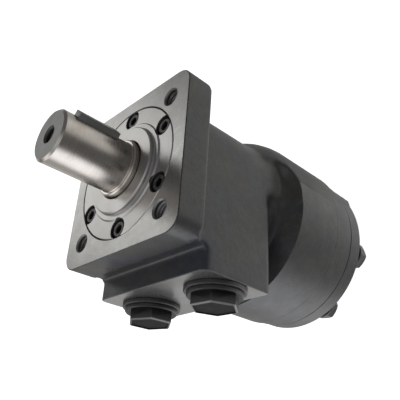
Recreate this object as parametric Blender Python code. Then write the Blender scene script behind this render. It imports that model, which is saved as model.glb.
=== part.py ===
"""Orbital hydraulic motor: square flange, keyed shaft, two side ports, roller gear set.

The shaft runs along Z and leaves the motor towards +Z. The mounting face of the flange lies in
the plane Z = 0, the ports open towards -Y, and the housing runs back towards -Z.
"""
import math

import bpy
import bmesh
from mathutils import Matrix, Vector

MM = 0.001
GAP = 0.3 * MM
CENTRE = Vector((0.0, 0.0, 0.0))

# Flange and housing casting
FLANGE_HALF = 41.75 * MM
FLANGE_THICK = 14.5 * MM
FLANGE_CORNER_R = 8.0 * MM
FLANGE_HOLE_OFFSET = 29.19 * MM
FLANGE_HOLE_R = 4.7 * MM
FLANGE_HOLE_DEPTH = 12.5 * MM
BODY_R = 40.7 * MM
BODY_HALF_WIDTH = 37.5 * MM
BLOCK_REAR_Z = -61.6 * MM
FOOT_FRONT_Z = -20.0 * MM
FOOT_TOP_Y = -38.0 * MM
GROOVE_Y = -40.6 * MM
PORT_FACE_Y = -51.3 * MM
NECK_R = 35.5 * MM
NECK_FRONT_Z = -50.0 * MM
RAMP_FRONT_Z = -71.0 * MM
BARREL_R = 47.0 * MM
BARREL_FRONT_Z = -76.5 * MM
HOUSING_REAR_Z = -107.0 * MM
SHOULDER_BASE_R = 30.0 * MM
SHOULDER_CURVE = ((46.6 * MM, -71.5 * MM), (45.4 * MM, -66.5 * MM), (43.2 * MM, -61.5 * MM),
                  (40.2 * MM, -56.5 * MM), (37.0 * MM, -53.0 * MM), (SHOULDER_BASE_R, -49.0 * MM))
RECESS_TOP_Y = 19.5 * MM
RECESS_CORNER_R = 9.0 * MM
RECESS_DRAFT = 5.5 * MM
RECESS_DEPTH = 11.0 * MM
TURNED_RECESS_FLOOR_Z = -21.5 * MM
PORT_CHAMFER = 1.0 * MM
DRILL_POINT = 2.0 * MM

# Front cover, seals and cover screws
COVER_R = 33.85 * MM
COVER_DEPTH = 16.0 * MM
PILOT_R = 22.2 * MM
PILOT_HEIGHT = 2.8 * MM
PILOT_STEP_R = 25.0 * MM
PILOT_STEP_HEIGHT = 0.7 * MM
COVER_CHAMFER = 0.4 * MM
COVER_LIP_R = 15.3 * MM
COVER_LIP_Z = 0.4 * MM
DUST_SEAL_SEAT_R = 18.9 * MM
DUST_SEAL_FLOOR_Z = -4.2 * MM
SHAFT_SEAL_SEAT_R = 20.6 * MM
BEARING_SEAT_R = 26.6 * MM
BEARING_SEAT_Z = -11.2 * MM
COVER_SCREWS = 6
COVER_SCREW_CIRCLE_R = 29.7 * MM
COVER_SCREW_HEAD_R = 4.0 * MM
COVER_SCREW_HEAD_H = 5.0 * MM
COVER_SCREW_R = 2.5 * MM
COVER_SCREW_LENGTH = 22.0 * MM
COVER_SCREW_HOLE_Z = -32.0 * MM
SOCKET_AF = 4.0 * MM
SOCKET_DEPTH = 2.6 * MM
COUNTERBORE_R = 4.9 * MM
COUNTERBORE_DEPTH = 6.0 * MM

# Output shaft, which is also the rotary valve
SHAFT_END_Z = 41.0 * MM
SHAFT_R = 12.7 * MM
SHAFT_CHAMFER = 1.1 * MM
JOURNAL_R = 14.3 * MM
JOURNAL_TOP_Z = 5.4 * MM
SHOULDER_R = 25.8 * MM
SHOULDER_TOP_Z = -16.6 * MM
SHOULDER_BOTTOM_Z = -20.4 * MM
VALVE_R = 19.0 * MM
VALVE_BORE_R = 19.3 * MM
VALVE_END_Z = -104.0 * MM
VALVE_HOLLOW_R = 12.6 * MM
VALVE_GROOVE_DEPTH = 2.2 * MM
VALVE_GROOVES = ((-31.0 * MM, -37.0 * MM), (-47.0 * MM, -53.0 * MM))
VALVE_SLOT_END_Z = -84.0 * MM
VALVE_SLOT_HALF = 1.6 * MM
VALVE_SLOT_DEPTH = 1.5 * MM
END_HOLE_R = 4.2 * MM
END_HOLE_MOUTH_R = 4.8 * MM
END_HOLE_DEPTH = 18.0 * MM
KEY_ANGLE = math.radians(47.0)
KEY_WIDTH = 6.35 * MM
KEY_TOP_R = 15.2 * MM
KEY_FLOOR_R = 9.5 * MM
KEY_FRONT_Z = 34.3 * MM
KEY_REAR_Z = 13.2 * MM
KEY_MARGIN = 0.1 * MM

# Thrust bearing on the front of the shaft's shoulder
THRUST_BORE_R = 15.4 * MM
THRUST_R = 26.0 * MM
THRUST_WASHER_Z = (-12.7 * MM, -11.5 * MM)
NEEDLE_CAGE_Z = (-16.3 * MM, -13.0 * MM)
NEEDLES = 12
NEEDLE_SPAN = (17.5 * MM, 24.5 * MM)
NEEDLE_HALF = 0.9 * MM

# Splined drive between the valve and the rotor
SPLINE_TEETH = 12
SPLINE_INNER_R = 9.7 * MM
SPLINE_OUTER_R = 11.5 * MM
DRIVE_ROOT_R = 9.0 * MM
DRIVE_TIP_R = 10.7 * MM
DRIVE_BODY_R = 7.5 * MM
DRIVE_NECK_R = 8.3 * MM
DRIVE_CROWN = 0.25 * MM
SOCKET_TOOTH_SHARE = 0.58
DRIVE_TOOTH_SHARE = 0.38
SPLINE_RELIEF = 0.4 * MM
DRIVE_FRONT_Z = -57.0 * MM
DRIVE_HEAD_HALF = 4.5 * MM
SPLINE_TOP_Z = -50.0 * MM
SPLINE_BOTTOM_Z = -64.0 * MM

# Roller gear set between the housing and the end cover
ROLLERS = 7
PLATE_BORE_R = 14.0 * MM
ROLLER_CIRCLE_R = 24.5 * MM
ROLLER_R = 5.0 * MM
POCKET_CLEARANCE = 0.12 * MM
ECCENTRICITY = 2.4 * MM
ROTOR_RELIEF = 0.18 * MM
ROTOR_POINTS = 84
RING_BORE_R = 24.7 * MM
RING_R = 45.9 * MM
PLATE_REAR_Z = -112.0 * MM
RING_REAR_Z = -122.0 * MM
COVER_END_Z = -132.4 * MM
END_COVER_R = 45.5 * MM
SEAL_GROOVE_MID_R = 31.7 * MM
SEAL_GROOVE_HALF = 1.0 * MM
SEAL_GROOVE_DEPTH = 1.5 * MM
SEAL_HALF = 0.75 * MM
SEAL_SPAN = (0.1 * MM, 1.2 * MM)
CHANNEL_CIRCLE_R = 23.3 * MM
CHANNEL_R = 2.2 * MM
CHANNEL_DEPTH = 30.0 * MM
SPACER_R = 9.0 * MM
SPACER_THICK = 1.5 * MM

# Rear bolts, one at the top of the pattern
END_BOLTS = 7
END_BOLT_CIRCLE_R = 38.0 * MM
END_BOLT_R = 4.0 * MM
END_BOLT_HOLE_R = 4.35 * MM
END_BOLT_DEPTH = 20.0 * MM
END_BOLT_AF = 13.0 * MM
END_BOLT_HEAD_H = 5.3 * MM
WASHER_R = 7.6 * MM
WASHER_THICK = 1.4 * MM

# Ports and their shipping plugs
PORT_X = 22.5 * MM
PORT_Z = -41.5 * MM
PORT_THREAD_R = 11.1 * MM
PORT_THREAD_DEPTH = 15.0 * MM
PORT_DRILL_R = 8.5 * MM
PORT_DRILL_END_Y = -15.0 * MM
PLUG_THREAD_R = 10.7 * MM
PLUG_THREAD_LENGTH = 11.0 * MM
PLUG_COLLAR_R = 13.1 * MM
PLUG_COLLAR_H = 2.0 * MM
PLUG_HEX_AF = 20.0 * MM
PLUG_HEX_H = 5.0 * MM
PLUG_WASHER_R = 14.5 * MM
PLUG_WASHER_THICK = 1.8 * MM
PLUG_TURNS = (math.radians(36.4), math.radians(-6.8))

# Check valves, two balls in bores closed by the channel plate
CHECK_BALL_R = 2.6 * MM
CHECK_BORE_R = 3.0 * MM
CHECK_CIRCLE_R = 27.0 * MM
CHECK_DEPTH = 9.0 * MM
CHECK_BALL_LIFT = 4.0 * MM
CHECK_ANGLES = (math.radians(-38.6), math.radians(-141.4))

MAIN_SIDES = 32
SMALL_SIDES = 16
HOLE_SIDES = 12
SEAL_SIDES = 24

# Colour, metallic and roughness of each finish
CAST_PAINT = ((0.075, 0.078, 0.080), 0.35, 0.45)
MACHINED_STEEL = ((0.42, 0.41, 0.39), 1.0, 0.32)
MACHINED_IRON = ((0.34, 0.34, 0.32), 0.9, 0.42)
BLACK_OXIDE = ((0.025, 0.025, 0.027), 0.6, 0.40)
KEY_STEEL = ((0.10, 0.095, 0.09), 0.8, 0.45)
SEAL_RUBBER = ((0.015, 0.015, 0.016), 0.0, 0.65)
BEARING_STEEL = ((0.55, 0.55, 0.55), 1.0, 0.20)


def clear_scene():
    for item in list(bpy.data.objects):
        bpy.data.objects.remove(item, do_unlink=True)


def finish_bmesh(bm):
    """Point every face of a closed shell outwards."""
    bmesh.ops.recalc_face_normals(bm, faces=bm.faces)
    return bm


def turned(profile, sides=MAIN_SIDES, start=0.0, sweep=2.0 * math.pi):
    """Turn a profile of (radius, z) points about Z, closed by its own ends."""
    bm = bmesh.new()
    full = abs(sweep - 2.0 * math.pi) < 1e-9
    steps = sides if full else sides + 1
    rings = []
    for radius, z in profile:
        if radius < 1e-9:
            rings.append([bm.verts.new((0.0, 0.0, z))] * steps)
            continue
        ring = []
        for i in range(steps):
            angle = start + sweep * i / sides
            ring.append(bm.verts.new((radius * math.cos(angle), radius * math.sin(angle), z)))
        rings.append(ring)
    count = len(rings)
    for j in range(count):
        low, high = rings[j], rings[(j + 1) % count]
        for i in range(sides):
            k = (i + 1) % steps
            corners = []
            for vert in (low[i], low[k], high[k], high[i]):
                if vert not in corners:
                    corners.append(vert)
            if len(corners) > 2:
                bm.faces.new(corners)
    if not full:
        bm.faces.new([ring[0] for ring in rings])
        bm.faces.new([ring[-1] for ring in rings])
    return finish_bmesh(bm)


def lofted(loops):
    """Closed shell through loops of (x, y, z) points, all of one length."""
    bm = bmesh.new()
    rows = [[bm.verts.new(point) for point in loop] for loop in loops]
    count = len(rows[0])
    bm.faces.new(rows[0])
    bm.faces.new(rows[-1])
    for low, high in zip(rows, rows[1:]):
        for i in range(count):
            k = (i + 1) % count
            bm.faces.new((low[i], low[k], high[k], high[i]))
    return finish_bmesh(bm)


def extruded(outline, low_z, high_z):
    """Prism on a closed outline of (x, y) points."""
    return lofted([[(x, y, z) for x, y in outline] for z in (low_z, high_z)])


def cylinder(radius, low_z, high_z, sides=SMALL_SIDES):
    return extruded(round_outline(radius, sides), low_z, high_z)


def ring(inner, outer, low_z, high_z, sides=MAIN_SIDES):
    return turned([(inner, low_z), (outer, low_z), (outer, high_z), (inner, high_z)], sides)


def round_outline(radius, sides=MAIN_SIDES, start=0.0):
    return [(radius * math.cos(start + 2.0 * math.pi * i / sides),
             radius * math.sin(start + 2.0 * math.pi * i / sides)) for i in range(sides)]


def arc(centre, radius, start, end, steps):
    """Points on an arc from the start angle to the end angle."""
    points = []
    for i in range(steps + 1):
        angle = start + (end - start) * i / steps
        points.append((centre[0] + radius * math.cos(angle), centre[1] + radius * math.sin(angle)))
    return points


def rounded_square(half, corner):
    outline = []
    for quarter in range(4):
        middle = math.radians(45.0 + 90.0 * quarter)
        sign_x = math.copysign(1.0, math.cos(middle))
        sign_y = math.copysign(1.0, math.sin(middle))
        centre = (sign_x * (half - corner), sign_y * (half - corner))
        outline += arc(centre, corner, middle - math.pi / 4, middle + math.pi / 4, 4)
    return outline


def hexagon(across_flats, turn=0.0):
    radius = across_flats / math.sqrt(3.0)
    return [(radius * math.cos(turn + math.radians(60.0 * i)),
             radius * math.sin(turn + math.radians(60.0 * i))) for i in range(6)]


def spline_outline(teeth, low_r, high_r, fraction):
    """Toothed outline whose teeth take the given fraction of each pitch."""
    outline = []
    pitch = 2.0 * math.pi / teeth
    for tooth in range(teeth):
        middle = tooth * pitch
        root = 0.5 * pitch * (fraction + 0.10)
        tip = 0.5 * pitch * (fraction - 0.10)
        for offset, radius in ((-root, low_r), (-tip, high_r), (tip, high_r), (root, low_r)):
            angle = middle + offset
            outline.append((radius * math.cos(angle), radius * math.sin(angle)))
    return outline


def bolt_angles(count):
    """Angles of a ring of bolts with one at the top, +Y."""
    return [math.pi / 2 + 2.0 * math.pi * i / count for i in range(count)]


def polar(radius, angle, z=0.0):
    return Vector((radius * math.cos(angle), radius * math.sin(angle), z))


def shifted(bm, offset):
    bmesh.ops.translate(bm, verts=bm.verts, vec=offset)
    return bm


def rotated(bm, angle):
    """Turn a mesh about the Z axis."""
    bmesh.ops.rotate(bm, verts=bm.verts, cent=CENTRE, matrix=Matrix.Rotation(angle, 3, "Z"))
    return bm


def merged(parts):
    """One mesh from several separate closed shells, for cutters."""
    whole = bmesh.new()
    for bm in parts:
        mesh = bpy.data.meshes.new("piece")
        bm.to_mesh(mesh)
        bm.free()
        whole.from_mesh(mesh)
        bpy.data.meshes.remove(mesh)
    return whole


def add_object(name, bm, parent=None, at=CENTRE):
    """Object whose mesh is given in world coordinates and whose origin is set at a point."""
    bmesh.ops.translate(bm, verts=bm.verts, vec=-at)
    mesh = bpy.data.meshes.new(name)
    bm.to_mesh(mesh)
    bm.free()
    item = bpy.data.objects.new(name, mesh)
    bpy.context.scene.collection.objects.link(item)
    item.location = at
    if parent is not None:
        item.parent = parent
        item.matrix_parent_inverse = Matrix.Translation(parent.location).inverted()
    return item


def add_part(name, bm, finish, parent=None, at=CENTRE):
    item = add_object(name, bm, parent, at)
    colour, metallic, roughness = finish
    material = bpy.data.materials.new(name)
    material.use_nodes = True
    shader = material.node_tree.nodes["Principled BSDF"]
    shader.inputs["Base Color"].default_value = (*colour, 1.0)
    shader.inputs["Metallic"].default_value = metallic
    shader.inputs["Roughness"].default_value = roughness
    item.data.materials.append(material)
    item.data.shade_smooth()
    item.data.set_sharp_from_angle(angle=math.radians(30.0))
    return item


def add_axis(name, at, parent=None):
    """Empty on a joint's axis, the parent of what turns there."""
    empty = bpy.data.objects.new(name, None)
    empty.empty_display_size = 10.0 * MM
    bpy.context.scene.collection.objects.link(empty)
    empty.location = at
    if parent is not None:
        empty.parent = parent
        empty.matrix_parent_inverse = Matrix.Translation(parent.location).inverted()
    return empty


def combine(target, tool_bm, operation, label):
    """Boolean with a hidden tool object."""
    tool = add_object(target.name + "_" + label, tool_bm)
    tool.hide_render = True
    tool.display_type = "WIRE"
    modifier = target.modifiers.new(label, "BOOLEAN")
    modifier.operation = operation
    modifier.solver = "EXACT"
    modifier.object = tool


def side_facing(bm, x, z):
    """Stand a solid made along Z on the port face, pointing out along -Y."""
    turn = Matrix.Rotation(math.pi / 2, 4, "X")
    bmesh.ops.transform(bm, matrix=Matrix.Translation((x, 0.0, z)) @ turn, verts=bm.verts)
    return bm


# ---------------------------------------------------------------- housing

def body_outline():
    """Round top and square bottom of the casting, before its sides are cut flat."""
    return arc((0.0, 0.0), BODY_R, 0.0, math.pi, MAIN_SIDES // 2) + [(-BODY_R, GROOVE_Y), (BODY_R, GROOVE_Y)]


def foot():
    """Port block below the casting, with its flat port face."""
    outline = [(BODY_R, FOOT_TOP_Y), (-BODY_R, FOOT_TOP_Y), (-BODY_R, PORT_FACE_Y), (BODY_R, PORT_FACE_Y)]
    return extruded(outline, BLOCK_REAR_Z, FOOT_FRONT_Z)


def barrel():
    """Round rear of the housing, with the neck and the ramp that lead up to it."""
    return turned([
        (0.0, HOUSING_REAR_Z), (BARREL_R, HOUSING_REAR_Z), (BARREL_R, BARREL_FRONT_Z),
        (NECK_R, RAMP_FRONT_Z), (NECK_R, NECK_FRONT_Z), (0.0, NECK_FRONT_Z)])


def shoulder():
    """Upper half of the casting behind the ports, which swells from the body to the barrel."""
    rear_z = BARREL_FRONT_Z - GAP
    profile = [(SHOULDER_BASE_R, rear_z), (BARREL_R, rear_z)] + list(SHOULDER_CURVE)
    return turned(profile, 18, 0.0, math.pi)


def side_recess(sign):
    """Space beside a flat side of the casting, with a rounded rear corner and sloping walls."""
    loops = []
    low_y = PORT_FACE_Y - RECESS_DRAFT
    centre = (RECESS_TOP_Y - RECESS_CORNER_R, RAMP_FRONT_Z + RECESS_CORNER_R)
    for depth, grow in ((0.0, 0.0), (RECESS_DEPTH, RECESS_DRAFT)):
        corner = arc(centre, RECESS_CORNER_R + grow, 0.0, -math.pi / 2, 5)
        outline = [(low_y, corner[-1][1]), (low_y, 0.0), (corner[0][0], 0.0)] + corner
        loops.append([(sign * (BODY_HALF_WIDTH + depth), y, z) for y, z in outline])
    return lofted(loops)


def main_bore():
    """Everything turned out of the housing from both ends, as one solid."""
    recess_r = COVER_R + GAP
    shoulder_r = SHOULDER_R + 1.0 * MM
    floor_z = TURNED_RECESS_FLOOR_Z
    return turned([
        (0.0, HOUSING_REAR_Z - GAP), (VALVE_BORE_R, HOUSING_REAR_Z - GAP), (VALVE_BORE_R, floor_z),
        (shoulder_r, floor_z), (shoulder_r, -COVER_DEPTH - GAP), (recess_r, -COVER_DEPTH - GAP),
        (recess_r, GAP), (0.0, GAP)])


def flange_holes():
    parts = []
    for sign_x in (-1.0, 1.0):
        for sign_y in (-1.0, 1.0):
            hole = turned([
                (0.0, -FLANGE_HOLE_DEPTH), (FLANGE_HOLE_R, -FLANGE_HOLE_DEPTH + DRILL_POINT),
                (FLANGE_HOLE_R, -2 * GAP), (FLANGE_HOLE_R + 3 * GAP, GAP), (0.0, GAP)], HOLE_SIDES)
            offset = Vector((sign_x, sign_y, 0.0)) * FLANGE_HOLE_OFFSET
            parts.append(shifted(hole, offset))
    for angle in bolt_angles(COVER_SCREWS):
        hole = cylinder(COVER_SCREW_R + GAP, COVER_SCREW_HOLE_Z, -COVER_DEPTH, HOLE_SIDES)
        parts.append(shifted(hole, polar(COVER_SCREW_CIRCLE_R, angle)))
    return merged(parts)


def port_bores():
    parts = []
    for sign in (-1.0, 1.0):
        depth = -PORT_FACE_Y - PORT_THREAD_DEPTH
        bore = turned([
            (0.0, -PORT_DRILL_END_Y), (PORT_DRILL_R, -PORT_DRILL_END_Y), (PORT_DRILL_R, depth),
            (PORT_THREAD_R, depth + DRILL_POINT), (PORT_THREAD_R, -PORT_FACE_Y - PORT_CHAMFER),
            (PORT_THREAD_R + PORT_CHAMFER, -PORT_FACE_Y),
            (PORT_THREAD_R + PORT_CHAMFER, -PORT_FACE_Y + GAP), (0.0, -PORT_FACE_Y + GAP)], SMALL_SIDES)
        parts.append(side_facing(bore, sign * PORT_X, PORT_Z))
    return merged(parts)


def rear_holes():
    """Bolt holes, valve channels, check-valve bores and the seal groove of the rear face."""
    parts = []
    back = HOUSING_REAR_Z - GAP
    for angle in bolt_angles(END_BOLTS):
        hole = cylinder(END_BOLT_HOLE_R, back, HOUSING_REAR_Z + END_BOLT_DEPTH + DRILL_POINT, HOLE_SIDES)
        parts.append(shifted(hole, polar(END_BOLT_CIRCLE_R, angle)))
        channel = cylinder(CHANNEL_R, back, HOUSING_REAR_Z + CHANNEL_DEPTH, HOLE_SIDES)
        parts.append(shifted(channel, polar(CHANNEL_CIRCLE_R, angle)))
    parts.append(seal_groove(HOUSING_REAR_Z, 1.0))
    return merged(parts)


def check_bores():
    parts = []
    for angle in CHECK_ANGLES:
        bore = turned([
            (0.0, HOUSING_REAR_Z - GAP), (CHECK_BORE_R, HOUSING_REAR_Z - GAP),
            (CHECK_BORE_R, HOUSING_REAR_Z + CHECK_DEPTH - DRILL_POINT),
            (0.0, HOUSING_REAR_Z + CHECK_DEPTH)], HOLE_SIDES)
        parts.append(shifted(bore, polar(CHECK_CIRCLE_R, angle)))
    return merged(parts)


def seal_groove(face_z, into):
    """Ring cut into a face at the given height; into is +1 for a cut towards +Z."""
    inner = SEAL_GROOVE_MID_R - SEAL_GROOVE_HALF
    outer = SEAL_GROOVE_MID_R + SEAL_GROOVE_HALF
    low, high = sorted((face_z - into * GAP, face_z + into * SEAL_GROOVE_DEPTH))
    return ring(inner, outer, low, high, SEAL_SIDES)


def build_housing():
    housing = add_part("housing", extruded(body_outline(), BLOCK_REAR_Z, -FLANGE_THICK + GAP), CAST_PAINT)
    combine(housing, foot(), "UNION", "foot")
    combine(housing, shoulder(), "UNION", "shoulder")
    combine(housing, barrel(), "UNION", "barrel")
    combine(housing, merged([side_recess(-1.0), side_recess(1.0)]), "DIFFERENCE", "recesses")
    flange = extruded(rounded_square(FLANGE_HALF, FLANGE_CORNER_R), -FLANGE_THICK, 0.0)
    combine(housing, flange, "UNION", "flange")
    combine(housing, main_bore(), "DIFFERENCE", "bore")
    combine(housing, flange_holes(), "DIFFERENCE", "front_holes")
    combine(housing, port_bores(), "DIFFERENCE", "ports")
    combine(housing, rear_holes(), "DIFFERENCE", "rear_holes")
    combine(housing, check_bores(), "DIFFERENCE", "check_bores")


# ---------------------------------------------------------------- front end

def build_front_cover():
    """Recessed disc with the pilot boss; its bore steps outwards towards the inside."""
    edge = COVER_CHAMFER
    cover = add_part("front_cover", turned([
        (BEARING_SEAT_R, -COVER_DEPTH), (COVER_R, -COVER_DEPTH), (COVER_R, -edge), (COVER_R - edge, 0.0),
        (PILOT_STEP_R, 0.0), (PILOT_STEP_R - edge, PILOT_STEP_HEIGHT), (PILOT_R, PILOT_STEP_HEIGHT),
        (PILOT_R, PILOT_HEIGHT - edge), (PILOT_R - edge, PILOT_HEIGHT), (COVER_LIP_R + edge, PILOT_HEIGHT),
        (COVER_LIP_R, PILOT_HEIGHT - edge), (COVER_LIP_R, COVER_LIP_Z), (DUST_SEAL_SEAT_R, COVER_LIP_Z),
        (DUST_SEAL_SEAT_R, DUST_SEAL_FLOOR_Z), (SHAFT_SEAL_SEAT_R, DUST_SEAL_FLOOR_Z),
        (SHAFT_SEAL_SEAT_R, BEARING_SEAT_Z), (BEARING_SEAT_R, BEARING_SEAT_Z)]), MACHINED_IRON)
    holes = []
    for angle in bolt_angles(COVER_SCREWS):
        hole = turned([
            (0.0, -COVER_DEPTH - GAP), (COVER_SCREW_R + GAP, -COVER_DEPTH - GAP),
            (COVER_SCREW_R + GAP, -COUNTERBORE_DEPTH), (COUNTERBORE_R, -COUNTERBORE_DEPTH),
            (COUNTERBORE_R, GAP), (0.0, GAP)], HOLE_SIDES)
        holes.append(shifted(hole, polar(COVER_SCREW_CIRCLE_R, angle)))
    combine(cover, merged(holes), "DIFFERENCE", "screw_holes")


def build_cover_screws():
    """Socket head cap screws sunk below the face of the cover."""
    head_base = -COUNTERBORE_DEPTH + GAP
    head_top = head_base + COVER_SCREW_HEAD_H
    edge = COVER_CHAMFER
    for index, angle in enumerate(bolt_angles(COVER_SCREWS)):
        place = polar(COVER_SCREW_CIRCLE_R, angle)
        body = turned([
            (0.0, head_base - COVER_SCREW_LENGTH), (COVER_SCREW_R, head_base - COVER_SCREW_LENGTH),
            (COVER_SCREW_R, head_base), (COVER_SCREW_HEAD_R, head_base),
            (COVER_SCREW_HEAD_R, head_top - edge), (COVER_SCREW_HEAD_R - edge, head_top),
            (0.0, head_top)], HOLE_SIDES)
        screw = add_part("cover_screw_%d" % (index + 1), shifted(body, place), BLACK_OXIDE)
        socket = extruded(hexagon(SOCKET_AF, angle), head_top - SOCKET_DEPTH, head_top + GAP)
        combine(screw, shifted(socket, place), "DIFFERENCE", "socket")


def build_seals():
    """Wiper and lip seal: each fills its seat and runs close to the journal."""
    bore_r = JOURNAL_R + GAP
    wiper_r = DUST_SEAL_SEAT_R - GAP
    wiper_low = DUST_SEAL_FLOOR_Z + 0.4 * MM
    wiper_high = COVER_LIP_Z - GAP
    wiper = [(bore_r, wiper_low), (wiper_r, wiper_low), (wiper_r, wiper_high),
             (wiper_r - 2.0 * MM, wiper_high), (bore_r, wiper_high - 1.1 * MM)]
    add_part("dust_seal", turned(wiper, SEAL_SIDES), SEAL_RUBBER)
    case_r = SHAFT_SEAL_SEAT_R - GAP
    case_low = BEARING_SEAT_Z + 0.4 * MM
    case_high = DUST_SEAL_FLOOR_Z - GAP
    web_z = case_high - 2.5 * MM
    lip = [(bore_r, case_low), (bore_r + 1.0 * MM, case_low), (bore_r + 1.3 * MM, web_z),
           (case_r - 1.0 * MM, web_z), (case_r - 1.0 * MM, case_low), (case_r, case_low),
           (case_r, case_high), (bore_r + GAP, case_high), (bore_r, web_z - 1.6 * MM)]
    add_part("shaft_seal", turned(lip, SEAL_SIDES), SEAL_RUBBER)


def build_bearing():
    """Thrust washer and needle cage between the cover and the shaft's shoulder."""
    add_part("thrust_washer", ring(THRUST_BORE_R, THRUST_R, *THRUST_WASHER_Z), BEARING_STEEL)
    low, high = NEEDLE_CAGE_Z
    cage = add_part("needle_cage", ring(THRUST_BORE_R, THRUST_R, low, high), BEARING_STEEL)
    inner, outer = NEEDLE_SPAN
    half = NEEDLE_HALF
    windows = []
    for i in range(NEEDLES):
        outline = [(inner, -half), (outer, -half), (outer, half), (inner, half)]
        window = extruded(outline, high - 1.0 * MM, high + GAP)
        windows.append(rotated(window, 2.0 * math.pi * i / NEEDLES))
    combine(cage, merged(windows), "DIFFERENCE", "windows")


# ---------------------------------------------------------------- shaft and drive

def shaft_profile():
    edge = COVER_CHAMFER
    profile = [(VALVE_HOLLOW_R, VALVE_END_Z), (VALVE_R, VALVE_END_Z)]
    for top, bottom in reversed(VALVE_GROOVES):
        profile += [(VALVE_R, bottom), (VALVE_R - VALVE_GROOVE_DEPTH, bottom),
                    (VALVE_R - VALVE_GROOVE_DEPTH, top), (VALVE_R, top)]
    profile += [
        (VALVE_R, SHOULDER_BOTTOM_Z), (SHOULDER_R, SHOULDER_BOTTOM_Z), (SHOULDER_R, SHOULDER_TOP_Z),
        (JOURNAL_R, SHOULDER_TOP_Z), (JOURNAL_R, JOURNAL_TOP_Z - edge),
        (JOURNAL_R - edge, JOURNAL_TOP_Z), (SHAFT_R, JOURNAL_TOP_Z),
        (SHAFT_R, SHAFT_END_Z - SHAFT_CHAMFER), (SHAFT_R - SHAFT_CHAMFER, SHAFT_END_Z),
        (END_HOLE_MOUTH_R, SHAFT_END_Z), (END_HOLE_R, SHAFT_END_Z - SHAFT_CHAMFER),
        (END_HOLE_R, SHAFT_END_Z - END_HOLE_DEPTH), (0.0, SHAFT_END_Z - END_HOLE_DEPTH - DRILL_POINT),
        (0.0, SPLINE_TOP_Z + 3 * DRILL_POINT), (VALVE_HOLLOW_R, SPLINE_TOP_Z + DRILL_POINT),
        (VALVE_HOLLOW_R, SPLINE_TOP_Z), (SPLINE_INNER_R, SPLINE_TOP_Z),
        (SPLINE_INNER_R, SPLINE_BOTTOM_Z), (VALVE_HOLLOW_R, SPLINE_BOTTOM_Z)]
    return profile


def valve_slots():
    """Lengthwise slots in the valve that open from its rear ring groove."""
    parts = []
    count = ROLLERS - 1
    half = VALVE_SLOT_HALF
    floor_r = VALVE_R - VALVE_SLOT_DEPTH
    top_r = VALVE_R + GAP
    start = VALVE_GROOVES[1][1] + GAP
    for i in range(count):
        outline = [(floor_r, -half), (top_r, -half), (top_r, half), (floor_r, half)]
        slot = extruded(outline, VALVE_SLOT_END_Z, start)
        parts.append(rotated(slot, 2.0 * math.pi * (i + 0.5) / count))
    return merged(parts)


def keyway(margin, floor_r, top_r):
    """Block on the key's place, wider and longer than the key by a margin."""
    half = KEY_WIDTH / 2 + margin
    block = extruded([(floor_r, -half), (top_r, -half), (top_r, half), (floor_r, half)],
                     KEY_REAR_Z - margin, KEY_FRONT_Z + margin)
    return rotated(block, KEY_ANGLE)


def build_output_shaft(spin):
    shaft = add_part("output_shaft", turned(shaft_profile()), MACHINED_STEEL, spin)
    combine(shaft, keyway(KEY_MARGIN, KEY_FLOOR_R - GAP, KEY_TOP_R + GAP), "DIFFERENCE", "keyway")
    teeth = spline_outline(SPLINE_TEETH, SPLINE_INNER_R - SPLINE_RELIEF, SPLINE_OUTER_R, SOCKET_TOOTH_SHARE)
    combine(shaft, extruded(teeth, SPLINE_BOTTOM_Z - GAP, SPLINE_TOP_Z + GAP), "DIFFERENCE", "spline")
    combine(shaft, valve_slots(), "DIFFERENCE", "slots")
    add_part("shaft_key", keyway(0.0, KEY_FLOOR_R, KEY_TOP_R), KEY_STEEL, spin)


def tilt_matrix():
    """Lean of the drive from the main axis to the rotor's axis, about its front pivot."""
    pivot = Vector((0.0, 0.0, DRIVE_FRONT_Z))
    rotor_middle = Vector((0.0, ECCENTRICITY, 0.5 * (PLATE_REAR_Z + RING_REAR_Z)))
    lean = Vector((0.0, 0.0, -1.0)).rotation_difference(rotor_middle - pivot)
    return Matrix.Translation(pivot) @ lean.to_matrix().to_4x4() @ Matrix.Translation(-pivot)


def drive_head(middle_z, low_z, high_z):
    """Crowned spline: full teeth at the middle, a little shallower at both ends."""
    loops = []
    for z, shrink in ((low_z, DRIVE_CROWN), (middle_z, 0.0), (high_z, DRIVE_CROWN)):
        outline = spline_outline(SPLINE_TEETH, DRIVE_ROOT_R - shrink, DRIVE_TIP_R - shrink,
                                 DRIVE_TOOTH_SHARE)
        loops.append([(x, y, z) for x, y in outline])
    return lofted(loops)


def build_drive(orbit):
    """Dog-bone drive: two splined heads on a waisted bar, leaning by the eccentricity."""
    front_z = DRIVE_FRONT_Z
    rear_z = 0.5 * (PLATE_REAR_Z + RING_REAR_Z)
    front = drive_head(front_z, front_z - DRIVE_HEAD_HALF, front_z + DRIVE_HEAD_HALF)
    rear = drive_head(rear_z + 1.0 * MM, rear_z - 2.0 * MM, rear_z + DRIVE_HEAD_HALF)
    neck = 8.0 * MM
    taper = 14.0 * MM
    waist = turned([
        (0.0, rear_z), (DRIVE_NECK_R, rear_z), (DRIVE_NECK_R, rear_z + neck),
        (DRIVE_BODY_R, rear_z + taper), (DRIVE_BODY_R, front_z - taper),
        (DRIVE_NECK_R, front_z - neck), (DRIVE_NECK_R, front_z), (0.0, front_z)], SMALL_SIDES)
    lean = tilt_matrix()
    for bm in (front, rear, waist):
        bmesh.ops.transform(bm, matrix=lean, verts=bm.verts)
    drive = add_part("cardan_shaft", waist, MACHINED_STEEL, orbit)
    combine(drive, front, "UNION", "front_head")
    combine(drive, rear, "UNION", "rear_head")


# ---------------------------------------------------------------- roller gear set

def roller_angles():
    """Rollers stand between the bolts."""
    return [angle + math.pi / ROLLERS for angle in bolt_angles(ROLLERS)]


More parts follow.
